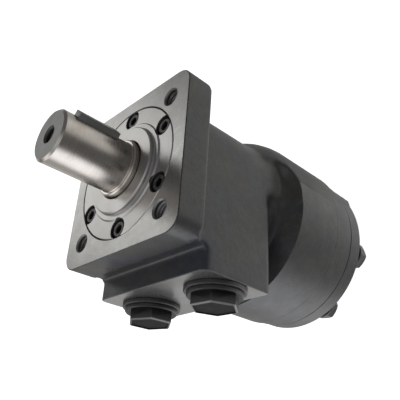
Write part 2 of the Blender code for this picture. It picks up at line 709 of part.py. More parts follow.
def rotor_point(turn):
    """Point of the six-lobed rotor: the path of a roller's centre, set in by its radius."""
    phase = math.pi / 2 - ROLLERS * roller_angles()[0]
    inner = ROLLERS * turn + phase
    x = ROLLER_CIRCLE_R * math.cos(turn) - ECCENTRICITY * math.cos(inner)
    y = ROLLER_CIRCLE_R * math.sin(turn) - ECCENTRICITY * math.sin(inner)
    dx = -ROLLER_CIRCLE_R * math.sin(turn) + ROLLERS * ECCENTRICITY * math.sin(inner)
    dy = ROLLER_CIRCLE_R * math.cos(turn) - ROLLERS * ECCENTRICITY * math.cos(inner)
    length = math.hypot(dx, dy)
    inset = ROLLER_R + ROTOR_RELIEF
    return (x - inset * dy / length, y + inset * dx / length)


def rotor_outline(count):
    """Rotor outline with its points evenly spaced along the curve."""
    samples = 12 * count
    dense = [Vector(rotor_point(2.0 * math.pi * i / samples)) for i in range(samples + 1)]
    travelled = [0.0]
    for first, second in zip(dense, dense[1:]):
        travelled.append(travelled[-1] + (second - first).length)
    outline = []
    nearest = 0
    for i in range(count):
        wanted = travelled[-1] * i / count
        while travelled[nearest] < wanted:
            nearest += 1
        outline.append((dense[nearest].x, dense[nearest].y))
    return outline


def ring_outline():
    """Bore of the ring with a half-round pocket for each roller."""
    pocket_r = ROLLER_R + POCKET_CLEARANCE
    cosine = (RING_BORE_R ** 2 + ROLLER_CIRCLE_R ** 2 - pocket_r ** 2) / (2 * RING_BORE_R * ROLLER_CIRCLE_R)
    reach = math.acos(cosine)
    corner_x = RING_BORE_R * math.cos(reach) - ROLLER_CIRCLE_R
    opening = math.atan2(RING_BORE_R * math.sin(reach), corner_x)
    steps = 7
    wall_steps = 3
    outline = []
    pitch = 2.0 * math.pi / ROLLERS
    for angle in roller_angles():
        centre = (ROLLER_CIRCLE_R * math.cos(angle), ROLLER_CIRCLE_R * math.sin(angle))
        overcut = pocket_r / math.cos(opening / steps)
        outline += arc(centre, overcut, angle - opening, angle + opening, steps)
        wall_start = angle + reach
        wall_end = angle + pitch - reach
        outline += arc((0.0, 0.0), RING_BORE_R, wall_start, wall_end, wall_steps)[1:-1]
    return outline


def bolt_holes_through(low_z, high_z):
    parts = []
    for angle in bolt_angles(END_BOLTS):
        hole = cylinder(END_BOLT_HOLE_R, low_z - GAP, high_z + GAP, HOLE_SIDES)
        parts.append(shifted(hole, polar(END_BOLT_CIRCLE_R, angle)))
    return parts


def build_channel_plate():
    """Plate between the housing and the ring, with a channel to each chamber."""
    high = HOUSING_REAR_Z - GAP
    low = PLATE_REAR_Z
    plate = add_part("channel_plate", extruded(round_outline(BARREL_R), low, high), CAST_PAINT)
    parts = bolt_holes_through(low, high)
    parts.append(cylinder(PLATE_BORE_R, low - GAP, high + GAP))
    for angle in bolt_angles(ROLLERS):
        channel = cylinder(CHANNEL_R, low - GAP, high + GAP, HOLE_SIDES)
        parts.append(shifted(channel, polar(CHANNEL_CIRCLE_R, angle)))
    combine(plate, merged(parts), "DIFFERENCE", "holes")


def build_ring():
    high = PLATE_REAR_Z - GAP
    low = RING_REAR_Z
    ring_part = add_part("roller_ring", extruded(round_outline(RING_R), low, high), CAST_PAINT)
    combine(ring_part, extruded(ring_outline(), low - GAP, high + GAP), "DIFFERENCE", "pockets")
    parts = bolt_holes_through(low, high)
    parts.append(seal_groove(high, -1.0))
    combine(ring_part, merged(parts), "DIFFERENCE", "holes")


def build_rollers():
    high = PLATE_REAR_Z - 2 * GAP
    low = RING_REAR_Z + GAP
    for index, angle in enumerate(roller_angles()):
        place = polar(ROLLER_CIRCLE_R, angle)
        axis = add_axis("roller_axis_%d" % (index + 1), place)
        roller = extruded(round_outline(ROLLER_R, SMALL_SIDES, angle), low, high)
        add_part("roller_%d" % (index + 1), shifted(roller, place), BEARING_STEEL, axis, place)


def build_rotor(orbit):
    """Six-lobed rotor, off centre by the eccentricity, with its splined bore."""
    centre = Vector((0.0, ECCENTRICITY, 0.0))
    outline = rotor_outline(ROTOR_POINTS)
    high = PLATE_REAR_Z - 2 * GAP
    low = RING_REAR_Z + GAP
    axis = add_axis("rotor_axis", centre, orbit)
    rotor = add_part("rotor", shifted(extruded(outline, low, high), centre), MACHINED_STEEL, axis, centre)
    teeth = spline_outline(SPLINE_TEETH, SPLINE_INNER_R, SPLINE_OUTER_R, SOCKET_TOOTH_SHARE)
    combine(rotor, shifted(extruded(teeth, low - GAP, high + GAP), centre), "DIFFERENCE", "spline")
    disc = cylinder(SPACER_R, low, low + SPACER_THICK)
    add_part("drive_spacer", shifted(disc, centre), MACHINED_STEEL, orbit)


# ---------------------------------------------------------------- rear end

def build_end_cover():
    high = RING_REAR_Z - GAP
    low = COVER_END_Z
    cover = add_part("end_cover", extruded(round_outline(END_COVER_R), low, high), CAST_PAINT)
    parts = bolt_holes_through(low, high)
    parts.append(seal_groove(high, -1.0))
    combine(cover, merged(parts), "DIFFERENCE", "holes")


def build_section_seals():
    inner = SEAL_GROOVE_MID_R - SEAL_HALF
    outer = SEAL_GROOVE_MID_R + SEAL_HALF
    near, deep = SEAL_SPAN
    plate_z = PLATE_REAR_Z - GAP
    ring_z = RING_REAR_Z - GAP
    faces = ((HOUSING_REAR_Z + near, HOUSING_REAR_Z + deep), (plate_z - deep, plate_z - near),
             (ring_z - deep, ring_z - near))
    for index, (low, high) in enumerate(faces):
        add_part("section_seal_%d" % (index + 1), ring(inner, outer, low, high, SEAL_SIDES), SEAL_RUBBER)


def build_end_bolts():
    washer_top = COVER_END_Z - GAP
    washer_low = washer_top - WASHER_THICK
    head_top = washer_low - GAP
    head_low = head_top - END_BOLT_HEAD_H
    tip = HOUSING_REAR_Z + END_BOLT_DEPTH
    for index, angle in enumerate(bolt_angles(END_BOLTS)):
        place = polar(END_BOLT_CIRCLE_R, angle)
        washer = ring(END_BOLT_HOLE_R, WASHER_R, washer_low, washer_top, SMALL_SIDES)
        add_part("end_washer_%d" % (index + 1), shifted(washer, place), BLACK_OXIDE)
        head = extruded(hexagon(END_BOLT_AF, angle), head_low, head_top)
        bolt = add_part("end_bolt_%d" % (index + 1), shifted(head, place), BLACK_OXIDE)
        shank = cylinder(END_BOLT_R, head_top - 1.0 * MM, tip, HOLE_SIDES)
        combine(bolt, shifted(shank, place), "UNION", "shank")


# ---------------------------------------------------------------- ports and check valves

def build_plugs():
    for letter, sign, turn in zip("ab", (-1.0, 1.0), PLUG_TURNS):
        washer_low = -PORT_FACE_Y + GAP
        washer_high = washer_low + PLUG_WASHER_THICK
        collar_low = washer_high + GAP
        collar_high = collar_low + PLUG_COLLAR_H
        washer = ring(PORT_THREAD_R + PORT_CHAMFER + GAP, PLUG_WASHER_R, washer_low, washer_high)
        add_part("plug_washer_" + letter, side_facing(washer, sign * PORT_X, PORT_Z), BLACK_OXIDE)
        body = turned([
            (0.0, -PORT_FACE_Y - PLUG_THREAD_LENGTH), (PLUG_THREAD_R, -PORT_FACE_Y - PLUG_THREAD_LENGTH),
            (PLUG_THREAD_R, collar_low), (PLUG_COLLAR_R, collar_low), (PLUG_COLLAR_R, collar_high),
            (0.0, collar_high)])
        plug = add_part("port_plug_" + letter, side_facing(body, sign * PORT_X, PORT_Z), BLACK_OXIDE)
        head = extruded(hexagon(PLUG_HEX_AF, turn), collar_high - GAP, collar_high + PLUG_HEX_H)
        combine(plug, side_facing(head, sign * PORT_X, PORT_Z), "UNION", "hex")


def build_check_balls():
    for index, angle in enumerate(CHECK_ANGLES):
        place = polar(CHECK_CIRCLE_R, angle, HOUSING_REAR_Z + CHECK_BALL_LIFT)
        bm = bmesh.new()
        bmesh.ops.create_icosphere(bm, subdivisions=2, radius=CHECK_BALL_R)
        add_part("check_ball_%d" % (index + 1), shifted(bm, place), BEARING_STEEL, None, place)


def main():
    clear_scene()
    spin = add_axis("shaft_axis", CENTRE)
    orbit = add_axis("orbit_axis", CENTRE)
    build_housing()
    build_front_cover()
    build_cover_screws()
    build_seals()
    build_bearing()
    build_output_shaft(spin)
    build_drive(orbit)
    build_channel_plate()
    build_ring()
    build_rollers()
    build_rotor(orbit)
    build_end_cover()
    build_section_seals()
    build_end_bolts()
    build_plugs()
    build_check_balls()


main()
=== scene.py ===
"""Looks of an orbital hydraulic motor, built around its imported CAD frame.

The motor's shaft runs along +Z, the mounting face lies in Z = 0 and the ports open towards -Y.
"""

import math

import bmesh
import bpy
from mathutils import Matrix, Vector


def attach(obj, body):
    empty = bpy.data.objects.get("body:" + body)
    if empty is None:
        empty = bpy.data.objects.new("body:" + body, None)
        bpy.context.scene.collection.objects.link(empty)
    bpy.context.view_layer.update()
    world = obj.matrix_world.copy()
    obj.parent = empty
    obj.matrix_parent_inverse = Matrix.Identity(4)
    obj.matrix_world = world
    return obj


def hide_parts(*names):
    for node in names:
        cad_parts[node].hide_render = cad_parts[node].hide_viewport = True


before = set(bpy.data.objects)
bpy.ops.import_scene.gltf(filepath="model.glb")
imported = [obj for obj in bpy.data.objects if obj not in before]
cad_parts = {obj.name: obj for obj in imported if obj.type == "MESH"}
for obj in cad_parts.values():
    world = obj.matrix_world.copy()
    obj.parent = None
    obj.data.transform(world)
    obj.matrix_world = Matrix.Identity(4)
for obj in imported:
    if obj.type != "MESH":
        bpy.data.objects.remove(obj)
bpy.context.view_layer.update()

MM = 0.001
TAU = 2.0 * math.pi

# Casting
FLANGE_HALF = 41.75 * MM
FLANGE_THICK = 14.5 * MM
FLANGE_CORNER_R = 8.0 * MM
FLANGE_HOLE_OFFSET = 29.19 * MM
FLANGE_HOLE_R = 4.7 * MM
FLANGE_HOLE_DEPTH = 12.5 * MM
BODY_R = 40.7 * MM
BODY_HALF_WIDTH = 37.5 * MM
BLOCK_REAR_Z = -61.6 * MM
FOOT_FRONT_Z = -20.0 * MM
GROOVE_Y = -40.6 * MM
PORT_FACE_Y = -51.3 * MM
NECK_R = 35.5 * MM
RAMP_FRONT_Z = -71.0 * MM
RECESS_TOP_Y = 19.5 * MM
RECESS_CORNER_R = 9.0 * MM
RECESS_DRAFT = 5.5 * MM
RECESS_DEPTH = 11.0 * MM
BARREL_R = 47.0 * MM
BARREL_FRONT_Z = -76.5 * MM
HOUSING_REAR_Z = -107.0 * MM
VALVE_BORE_R = 19.3 * MM
CASTING_STOCK = 1.5 * MM
CASTING_VOXEL = 0.8 * MM
FILLET_R = 2.6 * MM
FOOT_CORNER_R = 3.0 * MM
POCKET_END_R = 4.6 * MM
POCKET_END_Y = -3.6 * MM
EDGE_BREAK = 0.35 * MM
SHOULDER_SPACE_R = 26.8 * MM
SHOULDER_SPACE_REAR_Z = -21.5 * MM
# Half section of the shoulder, from barrel to body: radius and z in millimetres
SHOULDER_CURVE = ((47.0, -76.5), (46.6, -71.5), (45.4, -66.5), (43.2, -61.5), (40.2, -56.5), (37.0, -53.0))

# Front end
COVER_R = 33.85 * MM
COVER_DEPTH = 16.0 * MM
PILOT_R = 22.2 * MM
PILOT_HEIGHT = 2.8 * MM
COVER_STEP_R = 25.4 * MM
COVER_STEP_RISE = 0.7 * MM
COVER_BORE_R = 14.8 * MM
COVER_HOLLOW_R = 26.6 * MM
COVER_HOLLOW_Z = -11.2 * MM
WIPER_SEAT_R = 18.9 * MM
WIPER_SEAT_Z = -4.2 * MM
SEAL_SEAT_R = 20.6 * MM
SCREWS = 6
SCREW_CIRCLE_R = 29.7 * MM
SCREW_HOLE_R = 2.8 * MM
SCREW_HOLE_Z = -32.0 * MM
SCREW_R = 2.5 * MM
SCREW_LENGTH = 22.0 * MM
SCREW_HEAD_R = 4.0 * MM
SCREW_HEAD_H = 5.0 * MM
SOCKET_AF = 4.0 * MM
SOCKET_DEPTH = 2.6 * MM
COUNTERBORE_R = 4.9 * MM
COUNTERBORE_DEPTH = 6.0 * MM

# Shaft
SHAFT_END_Z = 41.0 * MM
SHAFT_R = 12.7 * MM
JOURNAL_R = 14.3 * MM
JOURNAL_TOP_Z = 5.4 * MM
KEY_ANGLE = math.radians(47.0)
KEY_WIDTH = 6.35 * MM
KEY_TOP_R = 15.2 * MM
KEY_FLOOR_R = 9.5 * MM
KEY_FRONT_Z = 34.3 * MM
KEY_REAR_Z = 13.2 * MM
SHOULDER_R = 25.8 * MM
SHOULDER_TOP_Z = -16.6 * MM
SHOULDER_BOTTOM_Z = -20.4 * MM
VALVE_R = 19.0 * MM
VALVE_END_Z = -104.0 * MM
VALVE_HOLLOW_R = 12.6 * MM
VALVE_GROOVE_R = 16.8 * MM
VALVE_GROOVES = ((-31.0 * MM, -37.0 * MM), (-47.0 * MM, -53.0 * MM))
VALVE_SLOTS = 6
VALVE_SLOT_FLOOR_R = 17.5 * MM
VALVE_SLOT_HALF = 1.6 * MM
VALVE_SLOT_END_Z = -84.0 * MM
SPLINE_TEETH = 12
SPLINE_INNER_R = 9.7 * MM
SPLINE_OUTER_R = 11.5 * MM
SPLINE_TOP_Z = -50.0 * MM
SPLINE_BOTTOM_Z = -64.0 * MM
END_HOLE_DEPTH = 18.0 * MM
END_HOLE_R = 3.6 * MM
END_CHAMFER = 1.1 * MM

# Rear end
BOLTS = 7
BOLT_CIRCLE_R = 38.0 * MM
BOLT_HOLE_R = 4.35 * MM
BOLT_AF = 13.0 * MM
BOLT_HEAD_H = 5.3 * MM
BOLT_R = 4.0 * MM
BOLT_TIP_Z = -87.0 * MM
WASHER_R = 7.6 * MM
WASHER_THICK = 1.4 * MM
WASHER_TOP_Z = -132.7 * MM
PLATE_REAR_Z = -112.3 * MM
RING_REAR_Z = -122.0 * MM
END_COVER_FRONT_Z = -122.3 * MM
END_COVER_REAR_Z = -132.4 * MM
RING_R = 45.9 * MM
END_COVER_R = 45.5 * MM
RING_BORE_R = 24.7 * MM
ROLLER_CIRCLE_R = 24.5 * MM
POCKET_R = 5.12 * MM
PLATE_BORE_R = 14.0 * MM
CHANNEL_CIRCLE_R = 23.3 * MM
CHANNEL_R = 2.2 * MM

# Ports
PORT_X = 22.5 * MM
PORT_Z = -41.5 * MM
PORT_THREAD_R = 11.1 * MM
PORT_BORE_R = 8.5 * MM
PORT_DEPTH = 15.0 * MM
PLUG_TURNS = {"a": math.radians(36.4), "b": math.radians(-6.8)}
PLUG_HEX_AF = 20.0 * MM
PLUG_HEX_TOP = 7.25 * MM
PLUG_RECESS = 0.5 * MM
PLUG_COLLAR_R = 13.1 * MM
PLUG_COLLAR_H = 2.0 * MM
PLUG_STEM_R = 10.7 * MM
PLUG_STEM_LENGTH = 13.0 * MM
SEAL_WASHER_R = 14.5 * MM
SEAL_WASHER_BORE_R = 12.3 * MM
SEAL_WASHER_H = 2.0 * MM
CONTACT_GAP = 0.05 * MM

# View
CAMERA_PLACE = Vector((0.18855, -0.12881, 0.12276))
CAMERA_TARGET = Vector((0.00504, 0.00121, -0.04458))
CAMERA_ROLL = math.radians(63.37)
CAMERA_LENS = 48.58
FLOOR_Z = -140.2 * MM

# Light panels: azimuth and elevation, half width and edge softness in degrees, strength, tint
ROOM_LIGHT = (0.14, 0.14, 0.142)
PANELS = (
    (147.0, 30.5, 8.5, 6.0, 1.85, (1.0, 1.005, 0.970)),
    (150.0, -16.0, 30.0, 22.0, 0.50, (1.0, 1.0, 1.0)),
    (-96.0, -34.0, 24.0, 13.0, 1.85, (0.970, 0.992, 1.035)),
    (-150.0, -34.0, 20.0, 16.0, 0.42, (1.0, 0.99, 0.965)),
    (36.0, -34.0, 22.0, 16.0, 0.66, (1.0, 1.0, 0.965)),
    (80.0, -34.0, 22.0, 16.0, 0.34, (1.0, 1.0, 0.965)),
    (-60.0, 48.0, 26.0, 20.0, 0.55, (1.0, 1.0, 1.0)),
    (-137.0, 28.0, 18.0, 12.0, 1.40, (1.0, 1.0, 1.0)),
    (0.0, -88.0, 30.0, 18.0, 1.00, (1.0, 1.0, 1.0)),
)


# ------------------------------------------------------------------ meshes

def new_object(name, bm):
    mesh = bpy.data.meshes.new(name)
    bm.to_mesh(mesh)
    bm.free()
    item = bpy.data.objects.new(name, mesh)
    bpy.context.scene.collection.objects.link(item)
    return item


def outward(bm):
    bmesh.ops.recalc_face_normals(bm, faces=bm.faces)
    return bm


def turned(profile, sides=128, start=0.0, sweep=TAU):
    """Turn a closed profile of (radius, z) points about Z."""
    bm = bmesh.new()
    full = abs(sweep - TAU) < 1e-9
    steps = sides if full else sides + 1
    rings = []
    for radius, z in profile:
        if radius < 1e-9:
            rings.append([bm.verts.new((0.0, 0.0, z))] * steps)
            continue
        rings.append([bm.verts.new((radius * math.cos(start + sweep * i / sides),
                                    radius * math.sin(start + sweep * i / sides), z))
                      for i in range(steps)])
    for j, low in enumerate(rings):
        high = rings[(j + 1) % len(rings)]
        for i in range(sides):
            k = (i + 1) % steps
            corners = []
            for vert in (low[i], low[k], high[k], high[i]):
                if vert not in corners:
                    corners.append(vert)
            if len(corners) > 2:
                bm.faces.new(corners)
    if not full:
        bm.faces.new([loop[0] for loop in rings])
        bm.faces.new([loop[-1] for loop in rings])
    return outward(bm)


def lofted(loops):
    """Closed shell through loops of 3-D points, all of one length."""
    bm = bmesh.new()
    rows = [[bm.verts.new(point) for point in loop] for loop in loops]
    count = len(rows[0])
    bm.faces.new(rows[0])
    bm.faces.new(rows[-1])
    for low, high in zip(rows, rows[1:]):
        for i in range(count):
            k = (i + 1) % count
            bm.faces.new((low[i], low[k], high[k], high[i]))
    return outward(bm)


def extruded(outline, low_z, high_z):
    return lofted([[(x, y, low_z) for x, y in outline], [(x, y, high_z) for x, y in outline]])


def circle(radius, sides=64, start=0.0):
    return [(radius * math.cos(start + TAU * i / sides), radius * math.sin(start + TAU * i / sides))
            for i in range(sides)]


def arc(centre, radius, start, end, steps):
    return [(centre[0] + radius * math.cos(start + (end - start) * i / steps),
             centre[1] + radius * math.sin(start + (end - start) * i / steps)) for i in range(steps + 1)]


def box(low, high):
    bm = bmesh.new()
    bmesh.ops.create_cube(bm, size=1.0)
    size = Vector(high) - Vector(low)
    middle = (Vector(high) + Vector(low)) / 2
    bmesh.ops.transform(bm, matrix=Matrix.Translation(middle) @ Matrix.Diagonal((*size, 1.0)), verts=bm.verts)
    return bm


def moved(bm, matrix):
    bmesh.ops.transform(bm, matrix=matrix, verts=bm.verts)
    return bm


def shift(x=0.0, y=0.0, z=0.0):
    return Matrix.Translation((x, y, z))


def polar(radius, angle):
    return shift(radius * math.cos(angle), radius * math.sin(angle))


def on_port_face(x):
    """Stands a solid made along Z at a port, pointing out along -Y."""
    return shift(x, 0.0, PORT_Z) @ Matrix.Rotation(math.pi / 2, 4, "X")


def gathered(whole, parts):
    """Move the parts' faces into one bmesh, and free the parts."""
    for bm in parts:
        mesh = bpy.data.meshes.new("piece")
        bm.to_mesh(mesh)
        bm.free()
        whole.from_mesh(mesh)
        bpy.data.meshes.remove(mesh)
    return whole


def merged(parts):
    return gathered(bmesh.new(), parts)


def boolean(target, tool_bm, operation="DIFFERENCE", material=None):
    tool = new_object("tool", tool_bm)
    if material is not None:
        tool.data.materials.append(material)
    modifier = target.modifiers.new("cut", "BOOLEAN")
    modifier.operation = operation
    modifier.solver = "EXACT"
    modifier.object = tool
    if material is not None:
        modifier.material_mode = "TRANSFER"
    apply_modifiers(target)
    bpy.data.objects.remove(tool)


def add_shells(target, *shells):
    """Put overlapping closed shells into one mesh; a voxel remesh then joins them."""
    whole = bmesh.new()
    whole.from_mesh(target.data)
    gathered(whole, shells)
    whole.to_mesh(target.data)
    whole.free()


def apply_modifiers(item):
    depsgraph = bpy.context.evaluated_depsgraph_get()
    mesh = bpy.data.meshes.new_from_object(item.evaluated_get(depsgraph))
    old = item.data
    item.modifiers.clear()
    item.data = mesh
    bpy.data.meshes.remove(old)


def bevelled(item, width, segments):
    modifier = item.modifiers.new("edges", "BEVEL")
    modifier.width = width
    modifier.segments = segments
    modifier.limit_method = "ANGLE"
    modifier.angle_limit = math.radians(30.0)
    apply_modifiers(item)


def smooth(item, angle=35.0):
    """Smooth shading, with edges sharper than an angle in degrees kept hard."""
    item.data.shade_smooth()
    item.data.set_sharp_from_angle(angle=math.radians(angle))


def angles(count):
    """Angles of a ring of fasteners, one of them at the top, +Y."""
    return [math.pi / 2 + TAU * i / count for i in range(count)]


# ------------------------------------------------------------------ materials

class Nodes:
    """Short way to build a material's node tree."""

    def __init__(self, name):
        self.material = bpy.data.materials.new(name)
        self.material.use_nodes = True
        self.tree = self.material.node_tree
        self.shader = self.tree.nodes["Principled BSDF"]
        self.coords = self.add("ShaderNodeTexCoord").outputs["Object"]

    def add(self, kind, **settings):
        node = self.tree.nodes.new(kind)
        for key, value in settings.items():
            setattr(node, key, value)
        return node

    def link(self, source, target):
        self.tree.links.new(source, target)

    def set(self, socket, value):
        self.shader.inputs[socket].default_value = value

    def feed(self, source, socket):
        self.link(source, self.shader.inputs[socket])

    def scaled(self, x, y, z):
        mapping = self.add("ShaderNodeMapping")
        mapping.inputs["Scale"].default_value = (x, y, z)
        self.link(self.coords, mapping.inputs["Vector"])
        return mapping.outputs["Vector"]

    def noise(self, scale, detail=3.0, rough=0.5, vector=None):
        node = self.add("ShaderNodeTexNoise")
        node.inputs["Scale"].default_value = scale
        node.inputs["Detail"].default_value = detail
        node.inputs["Roughness"].default_value = rough
        self.link(vector or self.coords, node.inputs["Vector"])
        return node.outputs["Fac"]

    def ramp(self, source, stops):
        node = self.add("ShaderNodeValToRGB")
        elements = node.color_ramp.elements
        while len(elements) > len(stops):
            elements.remove(elements[-1])
        while len(elements) < len(stops):
            elements.new(1.0)
        for element, (place, colour) in zip(elements, stops):
            element.position = place
            element.color = (*colour, 1.0)
        self.link(source, node.inputs["Fac"])
        return node.outputs["Color"]

    def span(self, source, low, high, from_low=0.0, from_high=1.0):
        node = self.add("ShaderNodeMapRange")
        node.inputs["From Min"].default_value = from_low
        node.inputs["From Max"].default_value = from_high
        node.inputs["To Min"].default_value = low
        node.inputs["To Max"].default_value = high
        self.link(source, node.inputs["Value"])
        return node.outputs["Result"]

    def math(self, operation, first, second):
        node = self.add("ShaderNodeMath", operation=operation)
        for socket, value in zip(node.inputs, (first, second)):
            if isinstance(value, (int, float)):
                socket.default_value = value
            else:
                self.link(value, socket)
        return node.outputs["Value"]

    def mix(self, factor, first, second):
        node = self.add("ShaderNodeMix", data_type="RGBA")
        for name, kind, value in (("Factor", "VALUE", factor), ("A", "RGBA", first), ("B", "RGBA", second)):
            socket = [s for s in node.inputs if s.name == name and s.type == kind][0]
            if isinstance(value, (int, float)):
                socket.default_value = value
            elif isinstance(value, tuple):
                socket.default_value = (*value, 1.0)
            else:
                self.link(value, socket)
        return [s for s in node.outputs if s.type == "RGBA"][0]

    def bump(self, height, distance, strength=1.0, after=None):
        node = self.add("ShaderNodeBump")
        node.inputs["Distance"].default_value = distance
        node.inputs["Strength"].default_value = strength
        self.link(height, node.inputs["Height"])
        if after is not None:
            self.link(after, node.inputs["Normal"])
        return node.outputs["Normal"]


def grey(value, warm=0.0):
    """A grey, made a little redder and less blue by warm."""
    return (value * (1.0 + warm), value, value * (1.0 - warm))


def cast_paint(name, base=0.050, texture=1.0, turned_marks=0.0):
    """Satin dark paint on a sand casting: orange peel over a grainy skin, olive and bluish patches, dust."""
    m = Nodes(name)
    cloud = m.ramp(m.noise(26.0, 5.0, 0.62), [
        (0.36, (base * 0.66, base * 0.82, base * 1.20)), (0.50, (base, base, base * 0.98)),
        (0.64, (base * 1.48, base * 1.40, base * 0.95))])
    blotch = m.ramp(m.noise(170.0, 4.0, 0.65), [
        (0.36, grey(base * 0.62)), (0.52, grey(base, 0.02)), (0.70, grey(base * 1.55, 0.03))])
    colour = m.mix(0.42, cloud, blotch)
    speck = m.span(m.noise(850.0, 2.0), 0.0, 1.0, 0.60, 0.72)
    colour = m.mix(m.math("MULTIPLY", speck, 0.30), colour, grey(base * 2.4, 0.03))
    m.feed(colour, "Base Color")
    m.set("Metallic", 0.0)
    m.set("Specular IOR Level", 0.62)
    m.feed(m.span(m.noise(110.0, 4.0), 0.30, 0.50), "Roughness")
    normal = m.bump(m.noise(1500.0, 4.0, 0.6), 0.00012 * texture, 0.40)
    normal = m.bump(m.noise(300.0, 3.0, 0.55), 0.00030 * texture, 0.45, normal)
    if turned_marks:
        lines = m.noise(420.0, 2.0, 0.6, m.scaled(0.02, 0.02, 1.0))
        normal = m.bump(lines, 0.00003 * turned_marks, 0.5, normal)
    m.feed(normal, "Normal")
    return m.material


def milled_iron(name, base=0.37, rough=(0.24, 0.33)):
    """Bare machined cast iron: dull grey with fine graphite specks and faint cutter arcs."""
    m = Nodes(name)
    cloud = m.noise(45.0, 5.0, 0.65)
    colour = m.ramp(cloud, [
        (0.30, grey(base * 0.80, 0.02)), (0.55, grey(base, 0.01)), (0.78, grey(base * 1.18))])
    pores = m.span(m.noise(1700.0, 2.0), 0.0, 1.0, 0.60, 0.70)
    colour = m.mix(m.math("MULTIPLY", pores, 0.35), colour, grey(base * 0.45, 0.03))
    m.feed(colour, "Base Color")
    m.set("Metallic", 0.85)
    m.feed(m.span(m.noise(300.0, 3.0), *rough), "Roughness")
    wave = m.add("ShaderNodeTexWave", wave_type="RINGS", rings_direction="Z")
    wave.inputs["Scale"].default_value = 420.0
    wave.inputs["Distortion"].default_value = 1.5
    m.link(m.scaled(1.0, 1.0, 0.2), wave.inputs["Vector"])
    turned_marks = m.bump(wave.outputs["Fac"], 0.00001, 0.25)
    m.feed(m.bump(m.noise(1300.0, 3.0), 0.00002, 0.35, turned_marks), "Normal")
    return m.material


def turned_steel(name, base=0.42, rough=(0.22, 0.34), marks=900.0, depth=0.000006, metallic=1.0, warm=0.0,
                 stain=0.0):
    """Turned or ground steel: rings round the axis, light brown stains and a little wear."""
    m = Nodes(name)
    cloud = m.noise(60.0, 4.0, 0.6)
    colour = m.ramp(cloud, [(0.30, grey(base * 0.86, warm + 0.03)), (0.60, grey(base, warm + 0.015)),
                            (0.80, grey(base * 1.12, warm))])
    if stain:
        patches = m.span(m.noise(75.0, 5.0, 0.7), 0.0, stain, 0.52, 0.72)
        colour = m.mix(patches, colour, (base * 0.72, base * 0.55, base * 0.42))
    m.feed(colour, "Base Color")
    m.set("Metallic", metallic)
    lines = m.noise(marks, 2.0, 0.6, m.scaled(0.02, 0.02, 1.0))
    m.feed(m.span(lines, *rough), "Roughness")
    m.feed(m.bump(lines, depth, 0.5), "Normal")
    return m.material


def black_oxide(name, base=0.020, rough=(0.34, 0.50), metallic=0.35, specular=0.5):
    """Blackened steel with oily sheen and slightly worn, lighter edges."""
    m = Nodes(name)
    cloud = m.noise(180.0, 4.0, 0.6)
    colour = m.ramp(cloud, [(0.35, grey(base * 0.7)), (0.60, grey(base)), (0.80, grey(base * 1.9, 0.05))])
    geometry = m.add("ShaderNodeNewGeometry")
    worn = m.span(geometry.outputs["Pointiness"], 0.0, 0.7, 0.52, 0.60)
    colour = m.mix(worn, colour, grey(base * 7.0, 0.02))
    m.feed(colour, "Base Color")
    m.set("Metallic", metallic)
    m.set("Specular IOR Level", specular)
    m.feed(m.span(m.noise(400.0, 3.0), *rough), "Roughness")
    m.feed(m.bump(m.noise(1400.0, 3.0), 0.00002, 0.4), "Normal")
    return m.material


def rubber(name):
    """Dull black seal rubber."""
    m = Nodes(name)
    m.feed(m.ramp(m.noise(300.0, 3.0), [(0.3, grey(0.010)), (0.7, grey(0.022))]), "Base Color")
    m.feed(m.span(m.noise(700.0, 2.0), 0.55, 0.75), "Roughness")
    m.feed(m.bump(m.noise(1800.0, 2.0), 0.00003, 0.4), "Normal")
    return m.material


PAINT = cast_paint("housing_paint")
PAINT_TURNED = cast_paint("barrel_paint", 0.056, 0.50, 3.0)
IRON = milled_iron("milled_iron")
# Dark, rough iron for the walls of holes, bores, counterbores and slots: painted shade in these hollows
HOLE_SHADE_IRON = milled_iron("hole_shade_iron", 0.12, (0.45, 0.6))
THREAD_IRON = milled_iron("thread_iron", 0.26, (0.40, 0.55))
COVER_IRON = turned_steel("cover_iron", 0.48, (0.29, 0.40), 700.0, 0.000008, 0.9)
STEEL = turned_steel("shaft_steel", 0.52, (0.22, 0.32), 800.0, 0.000004, 1.0, 0.055, 0.55)
END_STEEL = milled_iron("shaft_end_steel", 0.17, (0.34, 0.46))
INNER_STEEL = turned_steel("inner_steel", 0.45)
BEARING = turned_steel("bearing_steel", 0.60, (0.10, 0.2), 1400.0, 0.000003)
KEY = black_oxide("key_steel", 0.075, (0.34, 0.48), 0.8)
PLUG_INSIDE = black_oxide("plug_inside", 0.014, (0.55, 0.70), 0.0, 0.12)
PLUG_RIM = black_oxide("plug_worn_rim", 0.045, (0.38, 0.50), 0.8)
BLACK = black_oxide("black_oxide")
RUBBER = rubber("seal_rubber")


def dress(item, material, body, *nodes, slot=None):
    """Give a new piece its finish, let it ride on a body and stand for its CAD nodes."""
    if not item.data.materials:
        item.data.materials.append(material)
    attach(item, body)
    if nodes:
        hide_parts(*nodes)


# ------------------------------------------------------------------ casting

def rounded_square(half, corner, steps=12):
    """Outline of the flange."""
    outline = []
    for quarter in range(4):
        middle = math.radians(45.0 + 90.0 * quarter)
        centre = (math.copysign(half - corner, math.cos(middle)),
                  math.copysign(half - corner, math.sin(middle)))
        outline += arc(centre, corner, middle - math.pi / 4, middle + math.pi / 4, steps)
    return outline


def body_outline(grow=0.0):
    """Round top and flat sides of the casting behind the flange, grown but kept inside the flange."""
    radius = BODY_R + grow
    half = BODY_HALF_WIDTH + grow
    limit = FLANGE_HALF - 0.2 * MM
    half_angle = math.acos(half / radius)
    upper = [(x, min(y, limit)) for x, y in arc((0.0, 0.0), radius, half_angle, math.pi - half_angle, 40)]
    return upper + [(-half, GROOVE_Y + 0.15 * MM), (half, GROOVE_Y + 0.15 * MM)]


